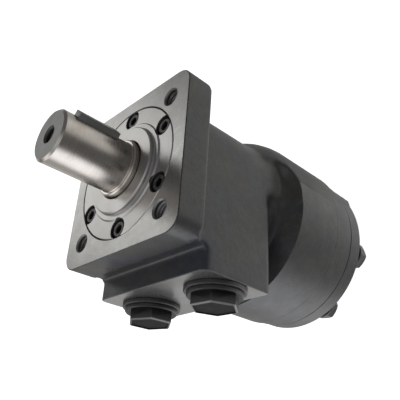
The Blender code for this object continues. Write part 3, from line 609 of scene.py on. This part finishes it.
def shoulder():
    """Upper half of the casting behind the ports, which swells from the body to the barrel."""
    base = 30.0 * MM
    margin = 0.02
    rear_z = -82.0 * MM
    profile = [(base, rear_z), (BARREL_R + 0.8 * CASTING_STOCK, rear_z)]
    profile += [(radius * MM, z * MM) for radius, z in SHOULDER_CURVE]
    return turned(profile + [(base, -49.0 * MM)], 72, -margin, math.pi + 2.0 * margin)


def side_recess(sign):
    """Space beside a flat side of the casting, with a rounded rear corner and sloping walls."""
    loops = []
    low_y = PORT_FACE_Y - RECESS_DRAFT
    centre = (RECESS_TOP_Y - RECESS_CORNER_R, RAMP_FRONT_Z + RECESS_CORNER_R)
    for depth, grow in ((0.0, 0.0), (RECESS_DEPTH, RECESS_DRAFT)):
        corner = arc(centre, RECESS_CORNER_R + grow, 0.0, -math.pi / 2, 16)
        outline = [(low_y, corner[-1][1]), (low_y, 0.0), (corner[0][0], 0.0)] + corner
        loops.append([(sign * (BODY_HALF_WIDTH + depth), y, z) for y, z in outline])
    return lofted(loops)


def foot_corner(sign):
    """What is missing outside the rounded front corner of the port block."""
    corner_x = BODY_HALF_WIDTH - FOOT_CORNER_R
    corner_z = FOOT_FRONT_Z - FOOT_CORNER_R
    outline = arc((corner_x, corner_z), FOOT_CORNER_R, 0.0, math.pi / 2, 8)
    outline += [(corner_x, FOOT_FRONT_Z + MM), (BODY_HALF_WIDTH + MM, FOOT_FRONT_Z + MM),
                (BODY_HALF_WIDTH + MM, corner_z)]
    stock = 5.0 * MM
    tool = extruded([(sign * x, z) for x, z in outline], -GROOVE_Y + MM, -PORT_FACE_Y + stock)
    return moved(tool, Matrix.Rotation(math.pi / 2, 4, "X"))


def pocket_end(sign):
    """Round upper end of the gap between the port block and the barrel."""
    drill = extruded(circle(POCKET_END_R, 32), NECK_R - 0.3 * MM, BARREL_R)
    turn = Matrix.Rotation(sign * math.pi / 2, 4, "Y")
    return moved(drill, shift(0.0, POCKET_END_Y, 0.5 * (BLOCK_REAR_Z + RAMP_FRONT_Z)) @ turn)


def flange_fillet():
    """Concave fillet where the body runs into the back of the flange."""
    steps = 5
    loops = []
    for step in range(steps + 1):
        drop = FILLET_R * step / steps
        grow = FILLET_R - math.sqrt(FILLET_R ** 2 - (FILLET_R - drop) ** 2)
        loops.append([(x, y, -FLANGE_THICK + 0.2 * MM - drop) for x, y in body_outline(grow)])
    return lofted(loops)


def ramp_weight(value, low, high):
    """0 below low, 1 above high, straight between them."""
    return min(1.0, max(0.0, (value - low) / (high - low)))


def soften_shoulder(casting):
    """Wide sand-cast blend where the flat sides run into the shoulder, short of the barrel's edge."""
    group = casting.vertex_groups.new(name="shoulder")
    # Full weight between these borders, fading out over a few millimetres at each
    for vert in casting.data.vertices:
        x, y, z = vert.co
        weight = ramp_weight(abs(x), 26.0 * MM, 32.0 * MM) * ramp_weight(y, -9.0 * MM, -3.0 * MM)
        weight *= ramp_weight(z, -77.0 * MM, -74.0 * MM) * ramp_weight(-z, 44.0 * MM, 52.0 * MM)
        weight *= ramp_weight(-math.hypot(x, y), -46.5 * MM, -44.0 * MM)
        if weight > 0.0:
            group.add([vert.index], weight, "REPLACE")
    relax = casting.modifiers.new("shoulder", "SMOOTH")
    relax.vertex_group = "shoulder"
    relax.factor = 0.5
    relax.iterations = 60
    apply_modifiers(casting)
    casting.vertex_groups.clear()


def rough_casting():
    """Sand casting before machining, with stock left on its machined faces."""
    stock = CASTING_STOCK
    body = [(BODY_R, GROOVE_Y)] + arc((0.0, 0.0), BODY_R, 0.0, math.pi, 96) + [(-BODY_R, GROOVE_Y)]
    casting = new_object("housing_body", extruded(body, BLOCK_REAR_Z, -FLANGE_THICK + 1.0 * MM))
    foot = box((-BODY_R, PORT_FACE_Y - stock, BLOCK_REAR_Z), (BODY_R, -30.0 * MM, FOOT_FRONT_Z))
    boolean(casting, foot, "UNION")
    boolean(casting, shoulder(), "UNION")
    ramp = (BARREL_FRONT_Z - RAMP_FRONT_Z) / (BARREL_R - NECK_R)
    barrel = turned([
        (0.0, HOUSING_REAR_Z - stock), (BARREL_R + stock, HOUSING_REAR_Z - stock),
        (BARREL_R + stock, BARREL_FRONT_Z + stock * ramp), (NECK_R, RAMP_FRONT_Z),
        (NECK_R, -50.0 * MM), (0.0, -50.0 * MM)])
    boolean(casting, barrel, "UNION")
    for sign in (-1.0, 1.0):
        boolean(casting, side_recess(sign))
        boolean(casting, pocket_end(sign))
        boolean(casting, foot_corner(sign))
    flange = extruded(rounded_square(FLANGE_HALF, FLANGE_CORNER_R), -FLANGE_THICK, stock)
    add_shells(casting, flange, flange_fillet())
    remesh = casting.modifiers.new("skin", "REMESH")
    remesh.mode = "VOXEL"
    remesh.voxel_size = CASTING_VOXEL
    relax = casting.modifiers.new("relax", "SMOOTH")
    relax.factor = 0.5
    relax.iterations = 7
    apply_modifiers(casting)
    soften_shoulder(casting)
    return casting


def thread_profile(radius, low_z, high_z, pitch, depth, mouth=0.8 * MM):
    """Closed profile of a tapped hole: sharp ridges between the drill point and the countersink."""
    profile = [(0.0, low_z - 2.0 * MM), (radius, low_z)]
    z = low_z + pitch
    while z + pitch < high_z - mouth:
        profile += [(radius, z), (radius + depth, z + 0.45 * pitch), (radius + depth, z + 0.55 * pitch)]
        z += pitch
    above = high_z + 0.5 * MM
    profile += [(radius, z), (radius, high_z - mouth), (radius + mouth, high_z), (radius + mouth, above),
                (0.0, above)]
    return profile


def machine_casting(casting):
    """Faces, bores and holes cut into the casting, in the order a shop would cut them."""
    far = 80.0 * MM
    casting.data.materials.clear()
    casting.data.materials.append(PAINT)
    boolean(casting, box((-far, -far, 0.0), (far, far, far)), "DIFFERENCE", IRON)
    boolean(casting, box((-far, -far, -far), (far, PORT_FACE_Y, far)), "DIFFERENCE", IRON)
    front = BLOCK_REAR_Z - 1.0 * MM
    ring_cut = turned([(BARREL_R, -far * 2), (far, -far * 2), (far, front), (BARREL_R, front)], 192)
    boolean(casting, ring_cut, "DIFFERENCE", PAINT_TURNED)
    boolean(casting, box((-far, -far, -2 * far), (far, far, HOUSING_REAR_Z)), "DIFFERENCE", IRON)
    recess = COVER_R + 0.3 * MM
    recess_floor = -COVER_DEPTH - 0.3 * MM
    bore = turned([
        (0.0, HOUSING_REAR_Z - MM), (VALVE_BORE_R, HOUSING_REAR_Z - MM),
        (VALVE_BORE_R, SHOULDER_SPACE_REAR_Z), (SHOULDER_SPACE_R, SHOULDER_SPACE_REAR_Z),
        (SHOULDER_SPACE_R, recess_floor), (recess, recess_floor),
        (recess, -EDGE_BREAK), (recess + EDGE_BREAK, 0.0), (recess + EDGE_BREAK, MM), (0.0, MM)], 192)
    boolean(casting, bore, "DIFFERENCE", HOLE_SHADE_IRON)
    holes = []
    offset = FLANGE_HOLE_OFFSET
    low = -FLANGE_HOLE_DEPTH + 2.0 * MM
    for x, y in ((offset, offset), (-offset, offset), (-offset, -offset), (offset, -offset)):
        profile = thread_profile(FLANGE_HOLE_R - 0.6 * MM, low, 0.0, 1.5 * MM, 0.8 * MM, 0.7 * MM)
        holes.append(moved(turned(profile, 40), shift(x, y)))
    boolean(casting, merged(holes), "DIFFERENCE", THREAD_IRON)
    holes = []
    for angle in angles(SCREWS):
        hole = extruded(circle(SCREW_HOLE_R, 24), SCREW_HOLE_Z, -COVER_DEPTH)
        holes.append(moved(hole, polar(SCREW_CIRCLE_R, angle)))
    face = -PORT_FACE_Y
    thread_end = face - PORT_DEPTH
    inner_end = 15.0 * MM
    for sign in (-1.0, 1.0):
        profile = [
            (0.0, inner_end), (PORT_BORE_R, inner_end), (PORT_BORE_R, thread_end),
            (PORT_THREAD_R, thread_end + 1.5 * MM), (PORT_THREAD_R, face - 1.2 * MM),
            (PORT_THREAD_R + 1.0 * MM, face), (PORT_THREAD_R + 1.0 * MM, face + MM), (0.0, face + MM)]
        holes.append(moved(turned(profile, 48), on_port_face(sign * PORT_X)))
    for angle in angles(BOLTS):
        holes.append(moved(extruded(circle(BOLT_HOLE_R, 24), HOUSING_REAR_Z - MM, HOUSING_REAR_Z + 22.0 * MM),
                           polar(BOLT_CIRCLE_R, angle)))
    boolean(casting, merged(holes), "DIFFERENCE", HOLE_SHADE_IRON)


def break_edges(casting):
    """Small chamfer round the milled port face and the flange face."""
    bm = bmesh.new()
    bm.from_mesh(casting.data)
    for axis, place in ((1, PORT_FACE_Y), (2, 0.0)):
        edges = []
        for edge in bm.edges:
            if any(abs(vert.co[axis] - place) > 1.0e-6 for vert in edge.verts) or len(edge.link_faces) != 2:
                continue
            middle = (edge.verts[0].co + edge.verts[1].co) / 2
            outer = max(abs(middle.x), abs(middle.y) if axis == 2 else 0.0) > BODY_HALF_WIDTH - 2.0 * MM
            outer = outer or axis == 1 and (middle.z > FOOT_FRONT_Z - MM or middle.z < BLOCK_REAR_Z + MM)
            if outer and edge.calc_face_angle() > 0.8:
                edges.append(edge)
        bmesh.ops.bevel(bm, geom=edges, offset=EDGE_BREAK, segments=1, profile=0.5, affect="EDGES",
                        clamp_overlap=True)
    bm.to_mesh(casting.data)
    bm.free()


def build_housing():
    """The casting, machined and painted."""
    casting = rough_casting()
    machine_casting(casting)
    break_edges(casting)
    smooth(casting, 32.0)
    dress(casting, PAINT, "housing", "housing", slot="cast_paint")


# ------------------------------------------------------------------ front end

def build_front_cover():
    """Turned cover with its stepped pilot, wiper and seal seats and counterbored screw holes."""
    cover = new_object("front_cover_turned", turned([
        (COVER_HOLLOW_R, -COVER_DEPTH), (COVER_R, -COVER_DEPTH), (COVER_R, -EDGE_BREAK),
        (COVER_R - EDGE_BREAK, 0.0), (COVER_STEP_R, 0.0), (COVER_STEP_R - 0.4 * MM, 0.25 * MM),
        (COVER_STEP_R - 0.7 * MM, COVER_STEP_RISE), (PILOT_R + 0.5 * MM, COVER_STEP_RISE),
        (PILOT_R + 0.1 * MM, 0.95 * MM), (PILOT_R, 1.3 * MM), (PILOT_R, PILOT_HEIGHT - 0.6 * MM),
        (PILOT_R - 0.6 * MM, PILOT_HEIGHT), (COVER_BORE_R + 0.4 * MM, PILOT_HEIGHT),
        (COVER_BORE_R, PILOT_HEIGHT - 0.4 * MM), (COVER_BORE_R, 0.4 * MM), (WIPER_SEAT_R, 0.4 * MM),
        (WIPER_SEAT_R, WIPER_SEAT_Z), (SEAL_SEAT_R, WIPER_SEAT_Z), (SEAL_SEAT_R, COVER_HOLLOW_Z),
        (COVER_HOLLOW_R, COVER_HOLLOW_Z)], 192))
    cover.data.materials.append(COVER_IRON)
    holes = []
    for angle in angles(SCREWS):
        hole = turned([
            (0.0, -COVER_DEPTH - MM), (SCREW_HOLE_R, -COVER_DEPTH - MM), (SCREW_HOLE_R, -COUNTERBORE_DEPTH),
            (COUNTERBORE_R, -COUNTERBORE_DEPTH), (COUNTERBORE_R, -0.25 * MM),
            (COUNTERBORE_R + 0.25 * MM, 0.0), (COUNTERBORE_R + 0.25 * MM, MM), (0.0, MM)], 48)
        holes.append(moved(hole, polar(SCREW_CIRCLE_R, angle)))
    boolean(cover, merged(holes), "DIFFERENCE", HOLE_SHADE_IRON)
    smooth(cover, 25.0)
    dress(cover, COVER_IRON, "housing", "front_cover", slot="machined_iron")


def hexagon(across_flats, turn=0.0):
    radius = across_flats / math.sqrt(3.0)
    return circle(radius, 6, turn)


def build_cover_screws():
    """Socket-head screws in the cover's counterbores."""
    head_low = -COUNTERBORE_DEPTH + 0.3 * MM
    head_top = head_low + SCREW_HEAD_H
    tip = head_low - SCREW_LENGTH
    for index, angle in enumerate(angles(SCREWS)):
        place = polar(SCREW_CIRCLE_R, angle)
        body = turned([
            (0.0, tip), (SCREW_R - 0.4 * MM, tip), (SCREW_R, tip + 0.5 * MM), (SCREW_R, head_low),
            (SCREW_HEAD_R - 0.2 * MM, head_low), (SCREW_HEAD_R, head_low + 0.2 * MM),
            (SCREW_HEAD_R, head_top - 0.6 * MM), (SCREW_HEAD_R - 0.5 * MM, head_top), (0.0, head_top)], 48)
        screw = new_object("socket_screw_%d" % (index + 1), moved(body, place))
        screw.data.materials.append(BLACK)
        socket = lofted([
            [(x, y, head_top - SOCKET_DEPTH) for x, y in hexagon(SOCKET_AF, angle)],
            [(x, y, head_top - 0.3 * MM) for x, y in hexagon(SOCKET_AF, angle)],
            [(x, y, head_top + 0.1 * MM) for x, y in hexagon(SOCKET_AF + 0.8 * MM, angle)]])
        boolean(screw, moved(socket, place))
        smooth(screw)
        dress(screw, BLACK, "housing", "cover_screw_%d" % (index + 1), slot="black_oxide")


def shaft_profile():
    """Half section of the one-piece output shaft: shaft end, shoulder and distributor valve."""
    profile = [(VALVE_HOLLOW_R, VALVE_END_Z), (VALVE_R - 0.3 * MM, VALVE_END_Z),
               (VALVE_R, VALVE_END_Z + 0.3 * MM)]
    for top, bottom in reversed(VALVE_GROOVES):
        profile += [(VALVE_R, bottom), (VALVE_GROOVE_R, bottom), (VALVE_GROOVE_R, top), (VALVE_R, top)]
    profile += [
        (VALVE_R, SHOULDER_BOTTOM_Z), (SHOULDER_R, SHOULDER_BOTTOM_Z), (SHOULDER_R, SHOULDER_TOP_Z),
        (JOURNAL_R, SHOULDER_TOP_Z), (JOURNAL_R, JOURNAL_TOP_Z - 0.6 * MM),
        (JOURNAL_R - 0.6 * MM, JOURNAL_TOP_Z), (SHAFT_R + 0.3 * MM, JOURNAL_TOP_Z),
        (SHAFT_R, JOURNAL_TOP_Z + 0.3 * MM), (SHAFT_R, SHAFT_END_Z - END_CHAMFER),
        (SHAFT_R - END_CHAMFER, SHAFT_END_Z), (0.0, SHAFT_END_Z), (0.0, SPLINE_TOP_Z + 6.0 * MM),
        (VALVE_HOLLOW_R, SPLINE_TOP_Z + 2.0 * MM), (VALVE_HOLLOW_R, SPLINE_TOP_Z),
        (SPLINE_INNER_R, SPLINE_TOP_Z), (SPLINE_INNER_R, SPLINE_BOTTOM_Z), (VALVE_HOLLOW_R, SPLINE_BOTTOM_Z)]
    return profile


def spline_socket():
    """Toothed hole that takes the drive's front spline."""
    low = SPLINE_INNER_R - 0.4 * MM
    outline = []
    pitch = TAU / SPLINE_TEETH
    for tooth in range(SPLINE_TEETH):
        middle = tooth * pitch
        for radius, offset in ((low, -0.40), (SPLINE_OUTER_R, -0.26), (SPLINE_OUTER_R, 0.26), (low, 0.40)):
            angle = middle + offset * pitch
            outline.append((radius * math.cos(angle), radius * math.sin(angle)))
    return extruded(outline, SPLINE_BOTTOM_Z - 0.3 * MM, SPLINE_TOP_Z + 0.3 * MM)


def valve_slots():
    """Lengthwise slots from the valve's rear ring groove."""
    slots = []
    for index in range(VALVE_SLOTS):
        slot = box((VALVE_SLOT_FLOOR_R, -VALVE_SLOT_HALF, VALVE_SLOT_END_Z),
                   (VALVE_R + 0.3 * MM, VALVE_SLOT_HALF, VALVE_GROOVES[1][1] + 0.3 * MM))
        slots.append(moved(slot, Matrix.Rotation(TAU * (index + 0.5) / VALVE_SLOTS, 4, "Z")))
    return merged(slots)


def give_material(item, material, test):
    """Second material on the faces whose middle and normal pass a test."""
    item.data.materials.append(material)
    index = len(item.data.materials) - 1
    for face in item.data.polygons:
        if test(face.center, face.normal):
            face.material_index = index


def build_shaft():
    """Output shaft with its keyway, spline socket, valve slots and tapped end, and the key in it."""
    shaft = new_object("turned_shaft", turned(shaft_profile(), 192))
    shaft.data.materials.append(STEEL)
    turn = Matrix.Rotation(KEY_ANGLE, 4, "Z")
    half = KEY_WIDTH / 2 + 0.06 * MM
    slot = box((KEY_FLOOR_R - 0.3 * MM, -half, KEY_REAR_Z - 0.2 * MM),
               (KEY_TOP_R + MM, half, KEY_FRONT_Z + 0.1 * MM))
    boolean(shaft, moved(slot, turn), "DIFFERENCE", HOLE_SHADE_IRON)
    boolean(shaft, spline_socket())
    boolean(shaft, valve_slots())
    end_hole = thread_profile(END_HOLE_R, SHAFT_END_Z - END_HOLE_DEPTH, SHAFT_END_Z, 1.25 * MM, 0.6 * MM)
    boolean(shaft, turned(end_hole, 48), "DIFFERENCE", HOLE_SHADE_IRON)
    front = SHAFT_END_Z - 1.0e-5
    give_material(shaft, END_STEEL, lambda middle, normal: middle.z > front and normal.z > 0.9)
    smooth(shaft)
    dress(shaft, STEEL, "output_shaft", "output_shaft", slot="machined_steel")
    half = KEY_WIDTH / 2
    block = box((KEY_FLOOR_R, -half, KEY_REAR_Z), (KEY_TOP_R, half, KEY_FRONT_Z))
    key = new_object("parallel_key", moved(block, turn))
    bevelled(key, 0.3 * MM, 2)
    smooth(key)
    dress(key, KEY, "output_shaft", "shaft_key", slot="key_steel")


def build_dust_seal():
    """Rubber wiper that closes the gap between the cover and the journal."""
    lip = JOURNAL_R + CONTACT_GAP
    outer = WIPER_SEAT_R - 0.1 * MM
    seal = new_object("wiper", turned([
        (lip, -3.8 * MM), (outer, -3.8 * MM), (outer, 0.1 * MM), (16.9 * MM, 0.1 * MM),
        (15.6 * MM, -0.2 * MM), (15.2 * MM, 0.9 * MM), (JOURNAL_R + 0.25 * MM, 1.2 * MM),
        (lip, 0.6 * MM)], 96))
    smooth(seal)
    dress(seal, RUBBER, "housing", "dust_seal", slot="seal_rubber")


# ------------------------------------------------------------------ rear end and plugs

def ring_bore():
    """Bore of the roller ring with a half-round pocket for each roller."""
    reach = math.acos((RING_BORE_R ** 2 + ROLLER_CIRCLE_R ** 2 - POCKET_R ** 2)
                      / (2.0 * RING_BORE_R * ROLLER_CIRCLE_R))
    corner = (RING_BORE_R * math.cos(reach) - ROLLER_CIRCLE_R, RING_BORE_R * math.sin(reach))
    opening = math.atan2(corner[1], corner[0])
    outline = []
    for angle in (a + math.pi / BOLTS for a in angles(BOLTS)):
        centre = (ROLLER_CIRCLE_R * math.cos(angle), ROLLER_CIRCLE_R * math.sin(angle))
        outline += arc(centre, POCKET_R, angle - opening, angle + opening, 24)
        outline += arc((0.0, 0.0), RING_BORE_R, angle + reach, angle + TAU / BOLTS - reach, 6)[1:-1]
    return outline


def build_rear():
    """Channel plate, roller ring and end cover: painted together, so their joints are hairlines."""
    hairline = 0.02 * MM
    edge = 0.12 * MM
    for node, radius, low, high, rear_edge in (
            ("channel_plate", BARREL_R, PLATE_REAR_Z + hairline, HOUSING_REAR_Z - hairline, edge),
            ("roller_ring", RING_R, RING_REAR_Z, PLATE_REAR_Z, 0.5 * MM),
            ("end_cover", END_COVER_R, END_COVER_REAR_Z, END_COVER_FRONT_Z, 1.2 * MM)):
        front_edge = 0.5 * MM if node == "end_cover" else edge
        part = new_object(node + "_turned", turned([
            (0.0, low), (radius - rear_edge, low), (radius, low + rear_edge), (radius, high - front_edge),
            (radius - front_edge, high), (0.0, high)], 192))
        part.data.materials.append(PAINT_TURNED)
        cutters = [moved(extruded(circle(BOLT_HOLE_R, 24), low - MM, high + MM), polar(BOLT_CIRCLE_R, angle))
                   for angle in angles(BOLTS)]
        if node == "channel_plate":
            cutters.append(extruded(circle(PLATE_BORE_R, 64), low - MM, high + MM))
            for angle in angles(BOLTS):
                channel = extruded(circle(CHANNEL_R, 24), low - MM, high + MM)
                cutters.append(moved(channel, polar(CHANNEL_CIRCLE_R, angle)))
        if node == "roller_ring":
            cutters.append(extruded(ring_bore(), low - MM, high + MM))
        boolean(part, merged(cutters), "DIFFERENCE", HOLE_SHADE_IRON)
        smooth(part)
        dress(part, PAINT_TURNED, "housing", node, slot="cast_paint")


def hex_head(across_flats, low, high, turn, rim):
    """Hexagonal head whose outer corners are turned off on a cone."""
    head = new_object("head", extruded(hexagon(across_flats, turn), low, high))
    corner = across_flats / math.sqrt(3.0)
    flat = across_flats / 2
    cone = turned([(0.0, low - MM), (corner + MM, low - MM), (corner + 0.05 * MM, high - rim),
                   (flat - 0.3 * MM, high), (0.0, high)], 96)
    boolean(head, cone, "INTERSECT")
    return head


def build_bolts():
    """End bolts on their washers; the heads point to the rear."""
    washer_top = WASHER_TOP_Z
    washer_low = washer_top - WASHER_THICK
    head_top = washer_low - 0.3 * MM
    edge = 0.2 * MM
    flip = Matrix.Rotation(math.pi, 4, "X")
    for index, angle in enumerate(angles(BOLTS)):
        place = polar(BOLT_CIRCLE_R, angle)
        disc = turned([
            (BOLT_HOLE_R, washer_low), (WASHER_R - edge, washer_low), (WASHER_R, washer_low + edge),
            (WASHER_R, washer_top - edge), (WASHER_R - edge, washer_top), (BOLT_HOLE_R, washer_top)], 48)
        washer = new_object("washer_%d" % (index + 1), moved(disc, place))
        smooth(washer)
        dress(washer, BLACK, "housing", "end_washer_%d" % (index + 1), slot="black_oxide")
        bolt = hex_head(BOLT_AF, 0.0, BOLT_HEAD_H, -angle, 1.1 * MM)
        bolt.name = "hex_bolt_%d" % (index + 1)
        bolt.data.transform(place @ shift(0.0, 0.0, head_top) @ flip)
        bolt.data.materials.clear()
        bolt.data.materials.append(BLACK)
        boolean(bolt, moved(extruded(circle(BOLT_R, 24), head_top - MM, BOLT_TIP_Z), place), "UNION")
        smooth(bolt)
        dress(bolt, BLACK, "housing", "end_bolt_%d" % (index + 1), slot="black_oxide")


def plug_head(low, high, turn):
    """Hollow hexagon of a shipping plug: thin bevelled rim round a shallow recess."""
    edge = 0.6 * MM
    loops = []
    for grow, z in ((0.0, low), (0.0, high - edge), (-2.0 * edge, high)):
        loops.append([(x, y, z) for x, y in hexagon(PLUG_HEX_AF + grow, turn)])
    head = new_object("head", lofted(loops))
    head.data.materials.append(BLACK)
    give_material(head, PLUG_RIM, lambda middle, normal: 0.3 < normal.z < 0.95)
    recess = lofted([
        [(x, y, high - PLUG_RECESS) for x, y in hexagon(PLUG_HEX_AF - 4.0 * edge, turn)],
        [(x, y, high + 0.2 * MM) for x, y in hexagon(PLUG_HEX_AF - 3.2 * edge, turn)]])
    boolean(head, recess, "DIFFERENCE", PLUG_INSIDE)
    return head


def build_plugs():
    """Shipping plugs in both ports, each on its sealing washer."""
    washer_low = -PORT_FACE_Y + CONTACT_GAP
    washer_high = washer_low + SEAL_WASHER_H
    low = washer_high + CONTACT_GAP
    tip = low - PLUG_STEM_LENGTH
    for letter, sign in (("a", -1.0), ("b", 1.0)):
        place = on_port_face(sign * PORT_X)
        washer = new_object("seal_washer_" + letter, moved(turned([
            (SEAL_WASHER_BORE_R, washer_low), (SEAL_WASHER_R - 0.3 * MM, washer_low),
            (SEAL_WASHER_R, washer_low + 0.3 * MM), (SEAL_WASHER_R, washer_high - 0.4 * MM),
            (SEAL_WASHER_R - 0.4 * MM, washer_high), (SEAL_WASHER_BORE_R, washer_high)], 96), place))
        smooth(washer)
        dress(washer, BLACK, "housing", "plug_washer_" + letter, slot="black_oxide")
        head = plug_head(low + 1.6 * MM, low + PLUG_HEX_TOP, PLUG_TURNS[letter])
        head.name = "hex_plug_" + letter
        collar = turned([
            (0.0, tip), (PLUG_STEM_R - 0.5 * MM, tip), (PLUG_STEM_R, tip + 0.5 * MM), (PLUG_STEM_R, low),
            (PLUG_COLLAR_R - 0.3 * MM, low), (PLUG_COLLAR_R, low + 0.3 * MM), (PLUG_COLLAR_R, low + 1.5 * MM),
            (PLUG_COLLAR_R - 0.5 * MM, low + PLUG_COLLAR_H), (0.0, low + PLUG_COLLAR_H)], 96)
        boolean(head, collar, "UNION")
        head.data.transform(place)
        smooth(head)
        dress(head, BLACK, "housing", "port_plug_" + letter, slot="black_oxide")


def dress_cad_nodes():
    """Finishes of the CAD nodes that keep their own shape, mostly inside the motor."""
    finishes = {"shaft_seal": RUBBER, "cardan_shaft": INNER_STEEL, "rotor": INNER_STEEL,
                "drive_spacer": INNER_STEEL, "thrust_washer": BEARING, "needle_cage": BEARING}
    for name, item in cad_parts.items():
        material = finishes.get(name)
        if name.startswith("section_seal"):
            material = RUBBER
        if name.startswith("roller_") and name[7:].isdigit() or name.startswith("check_ball"):
            material = BEARING
        if material is not None:
            item.data.materials.clear()
            item.data.materials.append(material)


# ------------------------------------------------------------------ studio

def add_floor():
    """White sweep below the motor, bright enough of its own to keep shadows faint."""
    bm = bmesh.new()
    bmesh.ops.create_grid(bm, x_segments=1, y_segments=1, size=4.0)
    floor = new_object("floor", bm)
    floor.location.z = FLOOR_Z
    m = Nodes("floor_white")
    m.feed(m.ramp(m.noise(3.0), [(0.3, grey(0.88)), (0.7, grey(0.92))]), "Base Color")
    m.set("Roughness", 0.9)
    m.set("Specular IOR Level", 0.1)
    m.set("Emission Color", (1.0, 1.0, 1.0, 1.0))
    m.set("Emission Strength", 0.95)
    floor.data.materials.append(m.material)
    floor.visible_glossy = False
    floor.visible_diffuse = False


def direction(azimuth, elevation):
    """Unit vector towards a place in the sky, from degrees."""
    azimuth = math.radians(azimuth)
    elevation = math.radians(elevation)
    level = math.cos(elevation)
    return (math.cos(azimuth) * level, math.sin(azimuth) * level, math.sin(elevation))


def add_world():
    """Grey room with soft bright panels, each a smooth lobe of light; the camera sees white instead."""
    world = bpy.data.worlds.new("studio")
    world.use_nodes = True
    tree = world.node_tree
    background = tree.nodes["Background"]
    coords = tree.nodes.new("ShaderNodeTexCoord")
    total = None
    for azimuth, elevation, half_width, softness, strength, tint in PANELS:
        dot = tree.nodes.new("ShaderNodeVectorMath")
        dot.operation = "DOT_PRODUCT"
        dot.inputs[1].default_value = direction(azimuth, elevation)
        tree.links.new(coords.outputs["Generated"], dot.inputs[0])
        lobe = tree.nodes.new("ShaderNodeMapRange")
        lobe.interpolation_type = "SMOOTHSTEP"
        lobe.inputs["From Min"].default_value = math.cos(math.radians(half_width + softness))
        lobe.inputs["From Max"].default_value = math.cos(math.radians(max(0.0, half_width - softness)))
        lobe.inputs["To Min"].default_value = 0.0
        lobe.inputs["To Max"].default_value = strength
        tree.links.new(dot.outputs["Value"], lobe.inputs["Value"])
        colour = tree.nodes.new("ShaderNodeVectorMath")
        colour.operation = "MULTIPLY_ADD"
        colour.inputs[0].default_value = tint
        tree.links.new(lobe.outputs["Result"], colour.inputs[1])
        if total is None:
            colour.inputs[2].default_value = ROOM_LIGHT
        else:
            tree.links.new(total, colour.inputs[2])
        total = colour.outputs["Vector"]
    seen = tree.nodes.new("ShaderNodeLightPath")
    backdrop = tree.nodes.new("ShaderNodeMix")
    backdrop.data_type = "RGBA"
    room, white = [s for s in backdrop.inputs if s.type == "RGBA"]
    white.default_value = (0.95, 0.95, 0.95, 1.0)
    tree.links.new(seen.outputs["Is Camera Ray"], backdrop.inputs["Factor"])
    tree.links.new(total, room)
    mixed = [s for s in backdrop.outputs if s.type == "RGBA"][0]
    tree.links.new(mixed, background.inputs["Color"])
    background.inputs["Strength"].default_value = 1.0
    bpy.context.scene.world = world


def add_camera():
    data = bpy.data.cameras.new("camera")
    data.lens = CAMERA_LENS
    data.sensor_width = 36.0
    data.clip_start = 0.01
    camera = bpy.data.objects.new("camera", data)
    aim = (CAMERA_TARGET - CAMERA_PLACE).to_track_quat("-Z", "Y").to_matrix().to_4x4()
    roll = Matrix.Rotation(-CAMERA_ROLL, 4, "Z")
    camera.matrix_world = Matrix.Translation(CAMERA_PLACE) @ aim @ roll
    bpy.context.scene.collection.objects.link(camera)
    bpy.context.scene.camera = camera


def add_studio():
    add_floor()
    add_camera()
    add_world()
    bpy.context.scene.view_settings.view_transform = "Standard"


build_housing()
build_front_cover()
build_cover_screws()
build_shaft()
build_dust_seal()
build_rear()
build_bolts()
build_plugs()
dress_cad_nodes()
add_studio()
